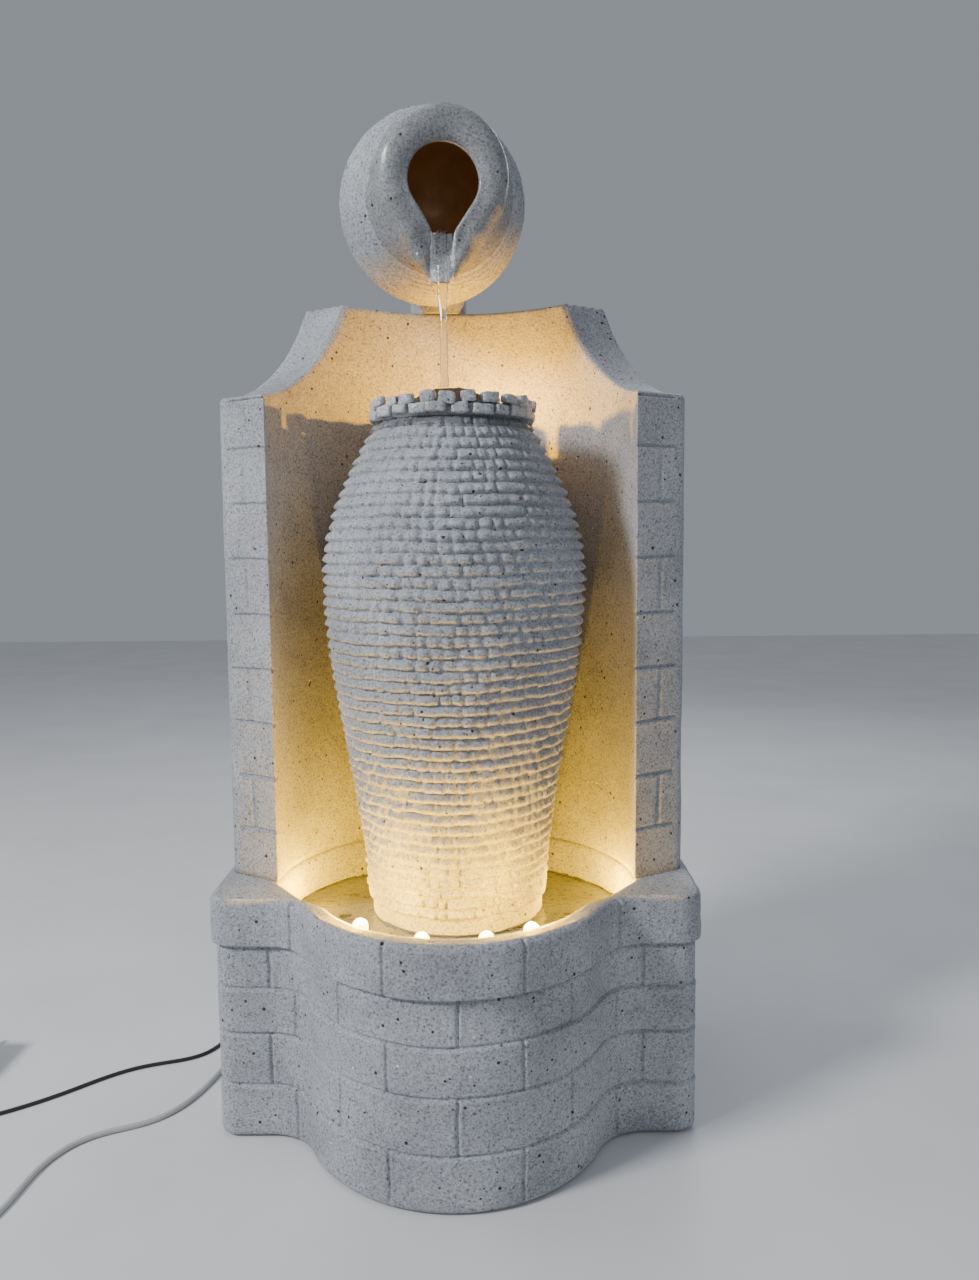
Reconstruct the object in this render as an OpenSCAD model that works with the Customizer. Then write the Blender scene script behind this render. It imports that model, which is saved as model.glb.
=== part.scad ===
// Tabletop water fountain: a pot pours into a ribbed vase that stands in a niche,
// and the water runs back into a bow-fronted basin that hides the pump.
// +X is the object's right, +Y its back, +Z up. The origin is bottom centre.

/* [Basin] */
// Half width of the lower courses
basin_half_w = 176; // [170:1:182]
// Height of the rim above the floor
basin_h = 182; // [176:1:190]
// Distance of the flat back from the centre plane
back_y = 138; // [136:1:142]
// Radius of the bowed front below the top course
bow_r = 112.5; // [108:0.5:116]
// How far the top course stands proud
lip = 3.5; // [2:0.5:5]
// Wall thickness of the basin
basin_wall = 7; // [6:0.5:9]
// Width of a mortar joint
joint_w = 2.5; // [1:0.5:4]
// Depth of a mortar joint
joint_d = 1.5; // [0.5:0.5:2.5]

/* [Alcove] */
// Inner radius of the niche
niche_r = 134; // [130:1:136]
// Outer radius of the curved side walls
alcove_r = 176; // [172:1:178]
// Height of the back wall's top
wall_top = 628; // [610:1:640]
// Radius of the hollowed shoulders
scoop_r = 120; // [110:1:125]
// Height of the axis that the shoulders are hollowed about
scoop_z = 662.5; // [655:0.5:670]
// Height of one course of the pillars
pillar_course = 40.5; // [38:0.5:43]

/* [Vase] */
// Largest radius of the vase
vase_r = 96.4; // [90:0.2:98]
// Radius of the foot
vase_foot_r = 66; // [60:1:72]
// Radius at the neck, under the rim
vase_neck_r = 55; // [52:1:60]
// Height of the widest place
vase_belly_z = 410; // [390:1:430]
// Height of the rim's top
vase_top = 539; // [530:1:545]
// Wall thickness of the vase
vase_wall = 6; // [5:0.5:8]
// Pitch of the ridges
ridge_pitch = 8; // [7:0.5:9]
// How far a ridge stands out
ridge_out = 2; // [1:0.5:3]
// Number of tiles in one ring of the rim
tiles = 24; // [16:1:32]

/* [Pot] */
// Outer radius of the pot's body
pot_r = 72; // [68:1:74]
// Wall thickness of the pot
pot_wall = 7; // [5:1:9]
// Turn of the mouth towards the right
pot_yaw = 10; // [0:1:15]
// Forward tilt of the mouth
pot_tilt = 9; // [4:1:14]
// Radius of the middle of the lip's ring
lip_ring_r = 36.5; // [34:0.5:39]
// Radius of the rolled lip
lip_roll_r = 12; // [10:0.5:13]

/* [Pump] */
// Height of the pump's axis above the basin's floor
pump_axis_h = 29; // [28:0.5:32]
// Side of the pump's square housing
pump_side = 46; // [44:1:48]
// Outer radius of the impeller's blades
blade_r = 15; // [12:0.5:16.5]
// Outer diameter of the riser hose
hose_d = 9; // [8:0.5:9.5]

/* [Cords] */
// Diameter of the pump's mains lead
pump_lead_d = 4; // [3.5:0.1:4.5]
// Diameter of the lights' lead
led_lead_d = 3; // [2.5:0.1:3.5]

/* [Hidden] */
$fn = 96;

stone = "gainsboro";
eps = 0.01;

// Basin
bow_y = -22;
front_y = -47;
fillet_r = 40;
fillet_bite = 0.05;
foot_gap = 1;
course_z = [41, 80, 114, 146];
joint_end = 0.5;
even_joint_turns = [-22, 24];
odd_joint_turns = [-43, 2, 45];
even_joint_x = 114;
odd_joint_x = 135;
fillet_reach = 120;
fillet_rise = 9;
cut_reach = 12;
floor_z = 8;
ledge_z = 132;
deck_z = 143;
deck_t = 5;
deck_top = deck_z + deck_t;
corner_r = 14;
opening_r = 99;

// Alcove
niche_y = -15;
face_turn = 31;
scoop_y = -102.3;
first_joint_z = 219;
pillar_joints = 8;
top_joint_z = 538.5;
face_w = 47;
joint_stop = 8;
upright_share = 0.45;
alcove_wall = 6;
alcove_back = back_y - 1;
spine_half_w = 45;

// Vase and deck
vase_y = 20;
ridge_z0 = 180;
ridge_count = 43;
rim_z = vase_top - 15;
rim_r = 62;
pad_z = 522;
pad_shift = -8;
pad_crown_r = 38;
pad_crown_h = 17;

// Pot
pot_c = [-15, 62, 694];
mouth_c = [-5, 7, 697];
spout_drop = 68;
spout_half = 8;
spout_r = 3.5;
lip_step = 0.4;

// Water path
riser_x = -15;
riser_y = 125.8;
hose_r = hose_d / 2;
hose_bend = 20;
hose_level = 100;
spigot_shift = 5;

// Pump
pump_x = -15;
pump_z = floor_z + pump_axis_h;
pump_back = 90;
volute_y = 30;
volute_front = 8;
grille_front = -6;
shaft_r = 1.5;
run_gap = 0.05;
hole_gap = 0.3;
magnet_y = 34;
magnet_len = 34;
magnet_r = 10;
blade_y = 20;
disc_y = 27;
disc_t = 2.6;
outlet_y = 19;
outlet_z = pump_z + pump_side / 2;
cup_h = pump_z - pump_side / 2 - floor_z;

// Lights
pod_ring_r = 88;
pod_angles = [-136, -103, -75, -53];
pod_r = 7.5;
pod_z = 172;
pod_lens_r = 5.5;
led_wire_r = 1.5;
led_wire_ring = pod_ring_r - pod_r - led_wire_r;
led_wire_z = deck_top + led_wire_r;
led_drop_turn = -46;
junction = [15, 50, 15];
junction_size = [32, 22, 15];
mouth_led = [17, 59];
mouth_led_z = 518;

// Rear face
hatch_x = 60;
hatch_z = 96;
hatch_w = 116;
hatch_h = 68;
hatch_open_w = 96;
hatch_open_h = 48;
hatch_t = 4;
gasket_t = 1.7;
hatch_seat = 6;
drain = [125, 22];
drain_r = 8;
drain_head_r = 13;
drain_head_t = 4;

// Cords: where they leave, and where they are coiled
relief_len = 25;
relief_r = 6;
pump_exit = [-130, back_y + relief_len, 95];
led_exit = [-100, back_y + relief_len, 60];
pump_route = [pump_exit, [-131, 176, 93], [-134, 186, 84], [-141, 190, 68],
    [-151, 187, 50], [-162, 178, 33], [-172, 164, 19], [-180, 147, 9], [-185, 128, 4],
    [-188, 108, 2], [-191, 86, 2], [-195, 62, 2], [-200, 36, 2], [-206, 12, 2],
    [-214, -8, 2], [-226, -24, 2], [-242, -34, 2], [-259, -40, 2], [-275, -50, 2],
    [-287, -67, 2], [-293, -90, 2], [-294, -115, 2], [-298, -140, 2], [-308, -160, 3]];
led_route = [led_exit, [-100, 177, 58], [-103, 189, 50], [-109, 198, 37],
    [-118, 203, 22], [-130, 204, 9], [-145, 200, 3], [-160, 192, 1.5], [-174, 180, 1.5],
    [-187, 164, 1.5], [-197, 144, 1.5], [-204, 120, 1.5], [-208, 96, 1.5],
    [-215, 76, 1.5], [-227, 65, 1.5], [-243, 59, 1.5], [-261, 54, 1.5], [-279, 45, 1.5],
    [-296, 31, 1.5], [-313, 14, 1.5], [-331, -1, 1.5], [-350, -14, 1.5],
    [-368, -24, 2], [-386, -33, 3]];
pump_inner_route = [[-38, 75, 40], [-54, 76, 40], [-70, 81, 44], [-86, 90, 53],
    [-102, 100, 66], [-116, 111, 80], [-126, 121, 91], [-130, 131, 95]];
led_inner_route = [[15, 72.6, 133], [14, 76, 132.4], [8, 82, 130], [-2, 88, 126], [-16, 94, 121],
    [-34, 99, 113], [-54, 104, 101], [-74, 110, 85], [-90, 119, 69], [-100, 131, 60]];
coil_z = 1;
pump_coil_r = 22;
pump_coil_wide = 12;
pump_coil_high = 12;
led_coil_r = 18;
led_coil_wide = 9;
led_coil_high = 12;
boot_len = 24;
plug_size = [35, 24, 13.6];
adapter_size = [40, 62, 28];
pin_r = 2;
pin_len = 19;
pin_gap = 19;
tie_w = 8;
tie_t = 0.9;
tie_turn = 200;

// A coil lies where its last route point meets it tangentially.
function unit(v) = v / norm(v);
function heading(path, i) = unit(path[min(i + 1, len(path) - 1)] - path[max(i - 1, 0)]);
function coil_centre(route, r) = let (end = route[len(route) - 1], h = heading(route, len(route) - 1),
    flat = unit([h[0], h[1], 0])) [end[0], end[1], 0] + r * [flat[1], -flat[0], 0];
pump_coil_out = pump_coil_r + pump_coil_wide / 2;
led_coil_out = led_coil_r + led_coil_wide / 2;
pump_coil_c = coil_centre(pump_route, pump_coil_out + pump_lead_d / 2);
led_coil_c = coil_centre(led_route, led_coil_out + led_lead_d / 2);
plug_place = [pump_coil_c[0] - pump_coil_out - pump_lead_d / 2 - 0.8, pump_coil_c[1], plug_size[2] / 2];
adapter_place = [led_coil_c[0] - led_coil_out - led_lead_d / 2 - 0.8, led_coil_c[1], 9];

// Tube swept along a route, with a ring of points at each route point.
function side(h) = unit(cross(h, [0, 0, 1]));
function ring(path, i, r, sides) = let (h = heading(path, i), u = side(h), v = cross(u, h))
    [for (k = [0 : sides - 1]) path[i] + r * (cos(360 * k / sides) * u + sin(360 * k / sides) * v)];

module swept_tube(path, r, sides = 8) {
    last = len(path) - 1;
    points = [for (i = [0 : last]) each ring(path, i, r, sides)];
    walls = [for (i = [0 : last - 1], k = [0 : sides - 1])
        let (n = (k + 1) % sides, a = i * sides, b = a + sides)
        each [[a + k, b + k, b + n], [a + k, b + n, a + n]]];
    start_cap = [for (k = [0 : sides - 1]) k];
    end_cap = [for (k = [sides - 1 : -1 : 0]) last * sides + k];
    polyhedron(points = points, faces = concat(walls, [start_cap, end_cap]));
}

// Basin plan: a bowed front that flows through two hollow curves into flat sides.
module basin_plan(grow) {
    r = bow_r + grow;
    f = fillet_r - grow;
    face_y = front_y - grow;
    half = basin_half_w + grow;
    centre_y = face_y - f;
    centre_x = sqrt(pow(r + f, 2) - pow(bow_y - centre_y, 2));
    touch = [centre_x, centre_y - bow_y] * r / (r + f);
    translate([0, bow_y]) circle(r);
    difference() {
        union() {
            translate([-half + corner_r, face_y]) square([2 * (half - corner_r), back_y - face_y]);
            translate([-half, face_y + corner_r]) square([2 * half, back_y - face_y - corner_r]);
            for (s = [-1, 1]) translate([s * (half - corner_r), face_y + corner_r]) circle(corner_r);
            polygon([[-centre_x, face_y], [-centre_x, centre_y], [-touch[0], touch[1] + bow_y],
                [touch[0], touch[1] + bow_y], [centre_x, centre_y], [centre_x, face_y]]);
        }
        for (s = [-1, 1]) translate([s * centre_x, centre_y]) circle(f + fillet_bite);
    }
}

// Plan of the opening in the basin's top, which runs on into the niche behind.
module opening_plan(grow) {
    translate([0, bow_y]) circle(opening_r + grow);
    polygon([[-niche_r - grow, niche_y], [-107 - grow, -51], [-88 - grow, -67],
        [88 + grow, -67], [107 + grow, -51], [niche_r + grow, niche_y]]);
    intersection() {
        translate([0, niche_y]) circle(niche_r + grow);
        translate([-niche_r - grow, niche_y - eps]) square([2 * (niche_r + grow), 2 * niche_r]);
    }
}

module slab(low, high) {
    translate([0, 0, low]) linear_extrude(high - low) children();
}

module basin_shell() {
    difference() {
        union() {
            slab(foot_gap, course_z[3]) basin_plan(0);
            slab(course_z[3], basin_h) basin_plan(lip);
        }
        difference() {
            slab(floor_z, basin_h - 10) intersection() {
                basin_plan(-basin_wall);
                translate([-200, -200]) square([400, 200 + back_y - basin_wall]);
            }
            slab(ledge_z - 7, basin_h) opening_plan(basin_wall);
            for (x = [hatch_x - hatch_w / 2 - 8 : hatch_w + 16 : hatch_x + hatch_w / 2 + 8])
                translate([x - 4, back_y - 17, floor_z - 1]) cube([8, 17, 20]);
        }
        slab(ledge_z - 8, deck_z + 1) opening_plan(-8);
        slab(deck_z, basin_h + 1) opening_plan(0);
    }
}

module mortar_rings() {
    for (z = [for (i = [0 : 2]) course_z[i]])
        slab(z - joint_w / 2, z + joint_w / 2) difference() {
            translate([-200, -200]) square([400, 200 + back_y - joint_d]);
            basin_plan(-joint_d);
        }
}

// One upright mortar joint of the bowed front, and one of the flat fronts.
module bow_joint(turn, low, high, r) {
    translate([0, bow_y, low]) rotate(turn)
        translate([-joint_w / 2, -r - cut_reach, 0]) cube([joint_w, cut_reach + joint_d, high - low]);
}

module flat_joint(x, low, high, grow) {
    surface_y = abs(x) < fillet_reach ? front_y - fillet_rise : front_y;
    translate([x - joint_w / 2, surface_y - grow - cut_reach, low])
        cube([joint_w, cut_reach + joint_d, high - low]);
}

module upright_joints() {
    bounds = concat([0], course_z, [basin_h + 2]);
    for (row = [0 : 4]) {
        low = bounds[row] + joint_end;
        high = bounds[row + 1] - joint_end;
        grow = row == 4 ? lip : 0;
        arc_turns = row % 2 == 0 ? even_joint_turns : odd_joint_turns;
        flat_x = row % 2 == 0 ? even_joint_x : odd_joint_x;
        for (turn = arc_turns) bow_joint(turn, low, high, bow_r + grow);
        for (s = [-1, 1]) flat_joint(s * flat_x, low, high, grow);
    }
}

module foot_places() {
    for (p = [[-150, -25], [150, -25], [-150, 115], [150, 115], [0, -105]])
        translate([p[0], p[1], 0]) children();
}

module hatch_screw_places() {
    for (x = [-1, 1], z = [-1, 1])
        translate([hatch_x + x * (hatch_w / 2 - 5), 0, hatch_z + z * (hatch_h / 2 - 5)]) children();
}

module along_y(from, length, r) {
    translate([0, from, 0]) rotate([-90, 0, 0]) cylinder(r = r, h = length);
}

module basin() {
    inner_y = back_y - basin_wall;
    color(stone) difference() {
        union() {
            basin_shell();
            translate([hatch_x - hatch_w / 2 - 5, inner_y - 8, hatch_z - hatch_h / 2 - 5])
                cube([hatch_w + 10, 9, hatch_h + 10]);
            translate([drain[0], 0, drain[1]]) along_y(inner_y - 10, 11, drain_head_r + 2);
        }
        mortar_rings();
        upright_joints();
        foot_places() translate([0, 0, -1]) cylinder(r = 12.2, h = 4);
        translate([hatch_x - hatch_open_w / 2, inner_y - 9, hatch_z - hatch_open_h / 2])
            cube([hatch_open_w, 30, hatch_open_h]);
        translate([hatch_x - hatch_w / 2 - hole_gap, back_y - hatch_seat,
            hatch_z - hatch_h / 2 - hole_gap])
            cube([hatch_w + 2 * hole_gap, 30, hatch_h + 2 * hole_gap]);
        hatch_screw_places() along_y(inner_y - 6, 20, 1.6);
        translate([drain[0], 0, drain[1]]) along_y(inner_y - 20, 40, drain_r);
        translate([drain[0], 0, drain[1]])
            along_y(back_y - drain_head_t - hole_gap, 10, drain_head_r + hole_gap);
        translate([pump_exit[0], 0, pump_exit[2]]) along_y(inner_y - 5, 20, relief_r);
        translate([led_exit[0], 0, led_exit[2]]) along_y(inner_y - 5, 20, relief_r);
        translate([riser_x, riser_y, hose_level + hose_bend]) cylinder(r = hose_r + hole_gap, h = 100);
    }
}

module feet() {
    color("dimgray") foot_places() cylinder(r = 12, h = 3);
}

module deck() {
    color(stone) difference() {
        slab(deck_z, deck_top) opening_plan(-0.5);
        for (turn = [-165 : 30 : 165])
            translate([0, vase_y, deck_z - 1]) rotate(turn)
                translate([84, -3, 0]) cube([9, 6, deck_t + 2]);
        translate([mouth_led[0], mouth_led[1], deck_z - 1]) cylinder(r = led_wire_r + hole_gap, h = 9);
        rotate_about_bow(led_drop_turn) translate([led_wire_ring, 0, deck_z - 1])
            cylinder(r = led_wire_r + hole_gap, h = 9);
    }
}

// Alcove: a half-round niche between two pillars under a lower, hollowed shoulder.
module alcove_plan(outer, inner, set_back, back) {
    reach = 400;
    face_end = [niche_r, niche_y] + reach * [cos(face_turn), sin(face_turn)];
    difference() {
        intersection() {
            translate([0, niche_y]) circle(outer);
            translate([-reach, niche_y]) square([2 * reach, back - niche_y]);
        }
        translate([0, niche_y]) circle(inner);
        translate([0, set_back]) polygon([[-face_end[0], face_end[1]], [-niche_r, niche_y],
            [-niche_r, -reach], [niche_r, -reach], [niche_r, niche_y], face_end,
            [reach * 2, -reach], [-reach * 2, -reach]]);
    }
}

module shoulder_scoops(r) {
    for (s = [-1, 1])
        translate([0, scoop_y, scoop_z]) rotate([0, 90, s * face_turn])
            translate([0, 0, -500]) cylinder(r = r, h = 1000, $fn = 192);
}

// Places its children on a pillar's front: x runs outwards, y into the stone.
module on_pillar(s) {
    translate([s * niche_r, niche_y, 0]) rotate([0, 0, s > 0 ? face_turn : 180 - face_turn])
        children();
}

module pillar_joint_cuts() {
    levels = [for (i = [0 : pillar_joints - 1]) first_joint_z + i * pillar_course];
    for (s = [-1, 1]) on_pillar(s) {
        for (z = concat(levels, [top_joint_z]))
            translate([-joint_d, -joint_d, z]) cube([face_w - joint_stop + joint_d, 2 * joint_d, joint_w]);
        for (i = [0 : 2 : pillar_joints - 1])
            translate([face_w * upright_share, -joint_d, levels[i]])
                cube([joint_w, 2 * joint_d, pillar_course]);
    }
}

module alcove() {
    color(stone) difference() {
        slab(basin_h, wall_top) alcove_plan(alcove_r, niche_r, 0, alcove_back);
        shoulder_scoops(scoop_r);
        difference() {
            slab(basin_h - 1, wall_top - alcove_wall)
                alcove_plan(alcove_r - alcove_wall, niche_r + alcove_wall, 8, alcove_back - alcove_wall);
            shoulder_scoops(scoop_r + alcove_wall);
            translate([-spine_half_w, 0, 0]) cube([2 * spine_half_w, 2 * back_y, wall_top + 1]);
        }
        pillar_joint_cuts();
        translate([riser_x, riser_y, basin_h - 1]) cylinder(r = hose_r + hole_gap, h = wall_top);
    }
}

// Radius of the vase without its ridges, at height z.
function vase_radius(z) = z < vase_belly_z
    ? vase_r - (vase_r - vase_foot_r) * (1 - cos(180 * (vase_belly_z - z) / (vase_belly_z - deck_top))) / 2
    : vase_r - (vase_r - vase_neck_r) * (1 - cos(90 * (z - vase_belly_z) / (rim_z - vase_belly_z)));
function vase_ridge(i) = let (z = ridge_z0 + i * ridge_pitch, r = vase_radius(z))
    [[r, z + 1], [r + ridge_out, z + 2.5], [r + ridge_out, z + 6.5]];

module vase_outline() {
    outside = concat([[0, deck_top], [vase_foot_r, deck_top], [vase_foot_r + 1.5, deck_top + 3],
        [vase_foot_r + 0.5, deck_top + 12]],
        [for (i = [0 : ridge_count - 1]) each vase_ridge(i)],
        [[rim_r, rim_z], [rim_r, vase_top], [0, vase_top]]);
    polygon(outside);
}

module vase_hollow_outline() {
    step = 20;
    polygon(concat([[0, deck_top + vase_wall]],
        [for (z = [deck_top + vase_wall : step : rim_z]) [vase_radius(z) - vase_wall, z]],
        [[vase_neck_r - vase_wall, rim_z], [vase_neck_r - vase_wall, vase_top + 1], [0, vase_top + 1]]));
}

module vase() {
    tile_turn = 360 / tiles;
    color(stone) translate([0, vase_y, 0]) difference() {
        rotate_extrude() vase_outline();
        rotate_extrude() vase_hollow_outline();
        for (i = [0 : tiles - 1]) rotate(i * tile_turn)
            translate([vase_neck_r - vase_wall - 2, -2, vase_top - 6]) cube([20, 4, 10]);
        for (i = [0 : tiles - 1]) rotate((i + 0.5) * tile_turn)
            translate([rim_r - 2, -1.5, rim_z - 1]) cube([6, 3, 8]);
        translate([0, 0, vase_top - 8]) difference() {
            cylinder(r = rim_r + 5, h = 1.6);
            translate([0, 0, -1]) cylinder(r = rim_r - 2, h = 4);
        }
        translate([mouth_led[0], mouth_led[1] - vase_y, deck_top - 1])
            cylinder(r = led_wire_r + hole_gap, h = vase_wall + 2);
    }
}

module splash_pad() {
    color("saddlebrown") translate([0, vase_y, 0]) difference() {
        union() {
            translate([0, 0, pad_z]) cylinder(r = vase_neck_r - vase_wall - 0.5, h = 10);
            translate([0, pad_shift, pad_z + 10]) cylinder(r1 = pad_crown_r, r2 = 14, h = pad_crown_h);
        }
        translate([mouth_led[0], mouth_led[1] - vase_y, pad_z - 1]) cylinder(r = 7.5, h = 40);
    }
}

// Pot: a round jar lying on its side with a rolled, tear-shaped lip.
module in_mouth_frame() {
    translate(mouth_c) rotate([0, 0, pot_yaw]) rotate([pot_tilt, 0, 0]) children();
}

function lip_end_angle() = let (d = norm([spout_half, spout_drop]))
    acos(lip_ring_r / d) - atan2(spout_drop, spout_half);

// Tear-shaped outline: a circle drawn out to a small round tip below it.
module tear_outline(ring, tip) {
    lean = asin((ring - tip) / spout_drop);
    right = [cos(lean), -sin(lean)];
    left = [-cos(lean), -sin(lean)];
    low = [0, -spout_drop];
    circle(ring);
    translate(low) circle(tip, $fn = 32);
    polygon([ring * right, [0, 0], ring * left, low + tip * left, low + tip * right]);
}

module tear_prism(ring, tip, back, front) {
    in_mouth_frame() rotate([90, 0, 0]) translate([0, 0, -back])
        linear_extrude(back + front) tear_outline(ring, tip);
}

module rolled_lip() {
    angle = lip_end_angle();
    start = lip_ring_r * [cos(angle), sin(angle)];
    end = [spout_half, -spout_drop];
    leg = end - start;
    in_mouth_frame() rotate([90, 0, 0]) {
        rotate([0, 0, angle]) rotate_extrude(angle = 180 - 2 * angle, $fn = 48)
            translate([lip_ring_r, 0]) circle(lip_roll_r, $fn = 28);
        for (s = [0, 1]) mirror([s, 0, 0]) {
            translate([start[0], start[1], 0]) rotate([0, 0, atan2(leg[1], leg[0])]) rotate([0, 90, 0])
                cylinder(r1 = lip_roll_r - lip_step, r2 = spout_r, h = norm(leg), $fn = 48);
            translate([end[0], end[1], 0]) sphere(spout_r + lip_step, $fn = 32);
        }
    }
}

module pot() {
    color(stone) difference() {
        union() {
            translate(pot_c) sphere(pot_r);
            tear_prism(lip_ring_r + 5, spout_r + 3, 45, 0);
            rolled_lip();
        }
        translate(pot_c) sphere(pot_r - pot_wall);
        tear_prism(lip_ring_r - 9, 2.5, 27, 30);
        translate([riser_x, riser_y - spigot_shift, pot_c[2] - 60]) cylinder(r = 3.3, h = 50);
    }
}

module pot_saddle() {
    color(stone) difference() {
        translate([riser_x, back_y - 1, wall_top]) cylinder(r = 24, h = 40);
        translate(pot_c) sphere(pot_r + 0.05);
        translate([riser_x, riser_y, wall_top - 1]) cylinder(r = hose_r + hole_gap, h = 50);
        translate([riser_x, riser_y - spigot_shift, wall_top + 7]) cylinder(r = 5, h = 40);
        translate([-200, back_y - 1, 0]) cube([400, 50, 800]);
    }
}

module inlet_spigot() {
    foot_z = wall_top + 8;
    color("dimgray") difference() {
        union() {
            translate([riser_x, riser_y, foot_z]) cylinder(r = 4.2, h = 8);
            translate([riser_x, riser_y - spigot_shift, foot_z]) cylinder(r = 4.2, h = 8);
            translate([riser_x, riser_y - spigot_shift, foot_z]) cylinder(r = 3, h = 46);
        }
        translate([riser_x, riser_y, foot_z - 1]) cylinder(r = 2, h = 6);
        translate([riser_x, riser_y - spigot_shift - 1.5, foot_z + 3.5])
            rotate([-90, 0, 0]) cylinder(r = 1.5, h = spigot_shift + 1.5);
        translate([riser_x, riser_y - spigot_shift, foot_z + 3]) cylinder(r = 2, h = 50);
    }
}

// Riser hose: up from the pump, back to the wall, and up behind the niche.
module hose_bend_piece() {
    rotate_extrude(angle = 90) translate([hose_bend, 0]) difference() {
        circle(hose_r, $fn = 32);
        circle(hose_r - 1.5, $fn = 32);
    }
}

module hose_length(h) {
    difference() {
        cylinder(r = hose_r, h = h, $fn = 32);
        translate([0, 0, -1]) cylinder(r = hose_r - 1.5, h = h + 2, $fn = 32);
    }
}

module riser_hose() {
    run_start = outlet_y + hose_bend;
    run_end = riser_y - hose_bend;
    rise_z = outlet_z + 4;
    color("whitesmoke") translate([riser_x, 0, 0]) {
        translate([0, outlet_y, rise_z]) hose_length(hose_level - hose_bend - rise_z);
        translate([0, run_start, hose_level - hose_bend]) rotate([0, -90, 0]) rotate(-90) hose_bend_piece();
        translate([0, run_start, hose_level]) rotate([-90, 0, 0]) hose_length(run_end - run_start);
        translate([0, run_end, hose_level + hose_bend]) rotate([0, -90, 0]) rotate(90) hose_bend_piece();
        translate([0, riser_y, hose_level + hose_bend])
            hose_length(wall_top + 8 - hose_level - hose_bend);
    }
}

module hose_clamp() {
    color("silver") translate([riser_x, outlet_y, outlet_z + 10]) difference() {
        union() {
            cylinder(r = hose_r + 1.2, h = 7);
            translate([hose_r, -2.5, 0]) cube([6, 5, 7]);
        }
        translate([0, 0, -1]) cylinder(r = hose_r, h = 9);
    }
}

// Pump
module pump_block(from, to) {
    translate([pump_x - pump_side / 2, from, pump_z - pump_side / 2])
        cube([pump_side, to - from, pump_side]);
}

module on_pump_axis() {
    translate([pump_x, 0, pump_z]) children();
}

module pump_body() {
    color("darkslategray") difference() {
        pump_block(volute_y, pump_back);
        on_pump_axis() along_y(volute_y - 1, 41, 11);
        on_pump_axis() along_y(volute_y, 50, shaft_r);
    }
}

module impeller_shaft() {
    color("white") on_pump_axis() along_y(18, 62, shaft_r);
}

module pump_volute() {
    color("darkslategray") difference() {
        union() {
            pump_block(volute_front, volute_y);
            translate([pump_x, outlet_y, outlet_z]) cylinder(r = hose_r - 1.5, h = 20);
            translate([pump_x, outlet_y, outlet_z]) cylinder(r = 6, h = 4);
        }
        on_pump_axis() along_y(volute_front + 4, 30, 18);
        on_pump_axis() along_y(0, 30, 8);
        translate([pump_x, outlet_y, pump_z]) cylinder(r = 2, h = 60);
    }
}

module impeller() {
    color("royalblue") on_pump_axis() difference() {
        union() {
            along_y(magnet_y, magnet_len, magnet_r);
            along_y(blade_y, magnet_y - blade_y + eps, 4);
            along_y(disc_y, disc_t, blade_r);
            for (turn = [0 : 60 : 300]) rotate([0, turn, 0])
                translate([-1, blade_y, 2]) cube([2, disc_y - blade_y + 1, blade_r - 2.5]);
        }
        along_y(0, 90, shaft_r + run_gap);
    }
}

module intake_grille() {
    slot_pitch = 8;
    color("darkslategray") difference() {
        pump_block(grille_front, volute_front - 0.2);
        translate([pump_x - pump_side / 2 + 2.5, grille_front + 2.5, pump_z - pump_side / 2 + 2.5])
            cube([pump_side - 5, 20, pump_side - 5]);
        for (i = [-2 : 2], side = [-1, 1])
            translate([pump_x + i * slot_pitch - 1.5, grille_front - 1, pump_z + side * 15 - 5.5])
                cube([3, 5, 11]);
        for (i = [-2 : 2])
            translate([pump_x - pump_side, grille_front + 4, pump_z + i * slot_pitch - 1.5])
                cube([2 * pump_side, 7, 3]);
        on_pump_axis() along_y(grille_front - 1, 5, 2.5);
    }
}

module flow_dial() {
    color("orangered") on_pump_axis() difference() {
        union() {
            along_y(grille_front - 3.3, 3, 9);
            along_y(grille_front - 0.5, 5, 2.5 - run_gap);
            translate([-1.5, grille_front - 6.3, -8]) cube([3, 3.5, 16]);
        }
        rotate([0, 40, 0]) translate([4.5, grille_front - 4, -1.5]) cube([6, 5, 3]);
    }
}

module suction_cups() {
    color("black") for (x = [-15, 15], y = [42, 78])
        translate([pump_x + x, y, floor_z]) cylinder(r1 = 8, r2 = 4, h = cup_h);
}

// Lights
module rotate_about_bow(turn) {
    translate([0, bow_y, 0]) rotate(turn) children();
}

module pod_places() {
    for (turn = pod_angles) rotate_about_bow(turn) translate([pod_ring_r, 0, 0]) children();
}

module led_housings() {
    color("black") pod_places() difference() {
        translate([0, 0, deck_top]) cylinder(r = pod_r, h = pod_z - deck_top);
        translate([0, 0, pod_z - 6]) cylinder(r = pod_lens_r, h = 7);
    }
}

module led_lenses() {
    color("gold") pod_places() {
        translate([0, 0, pod_z - 6]) cylinder(r = pod_lens_r, h = 8);
        translate([0, 0, pod_z + 2]) intersection() {
            sphere(pod_lens_r);
            translate([-10, -10, -eps]) cube([20, 20, 10]);
        }
    }
}

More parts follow.
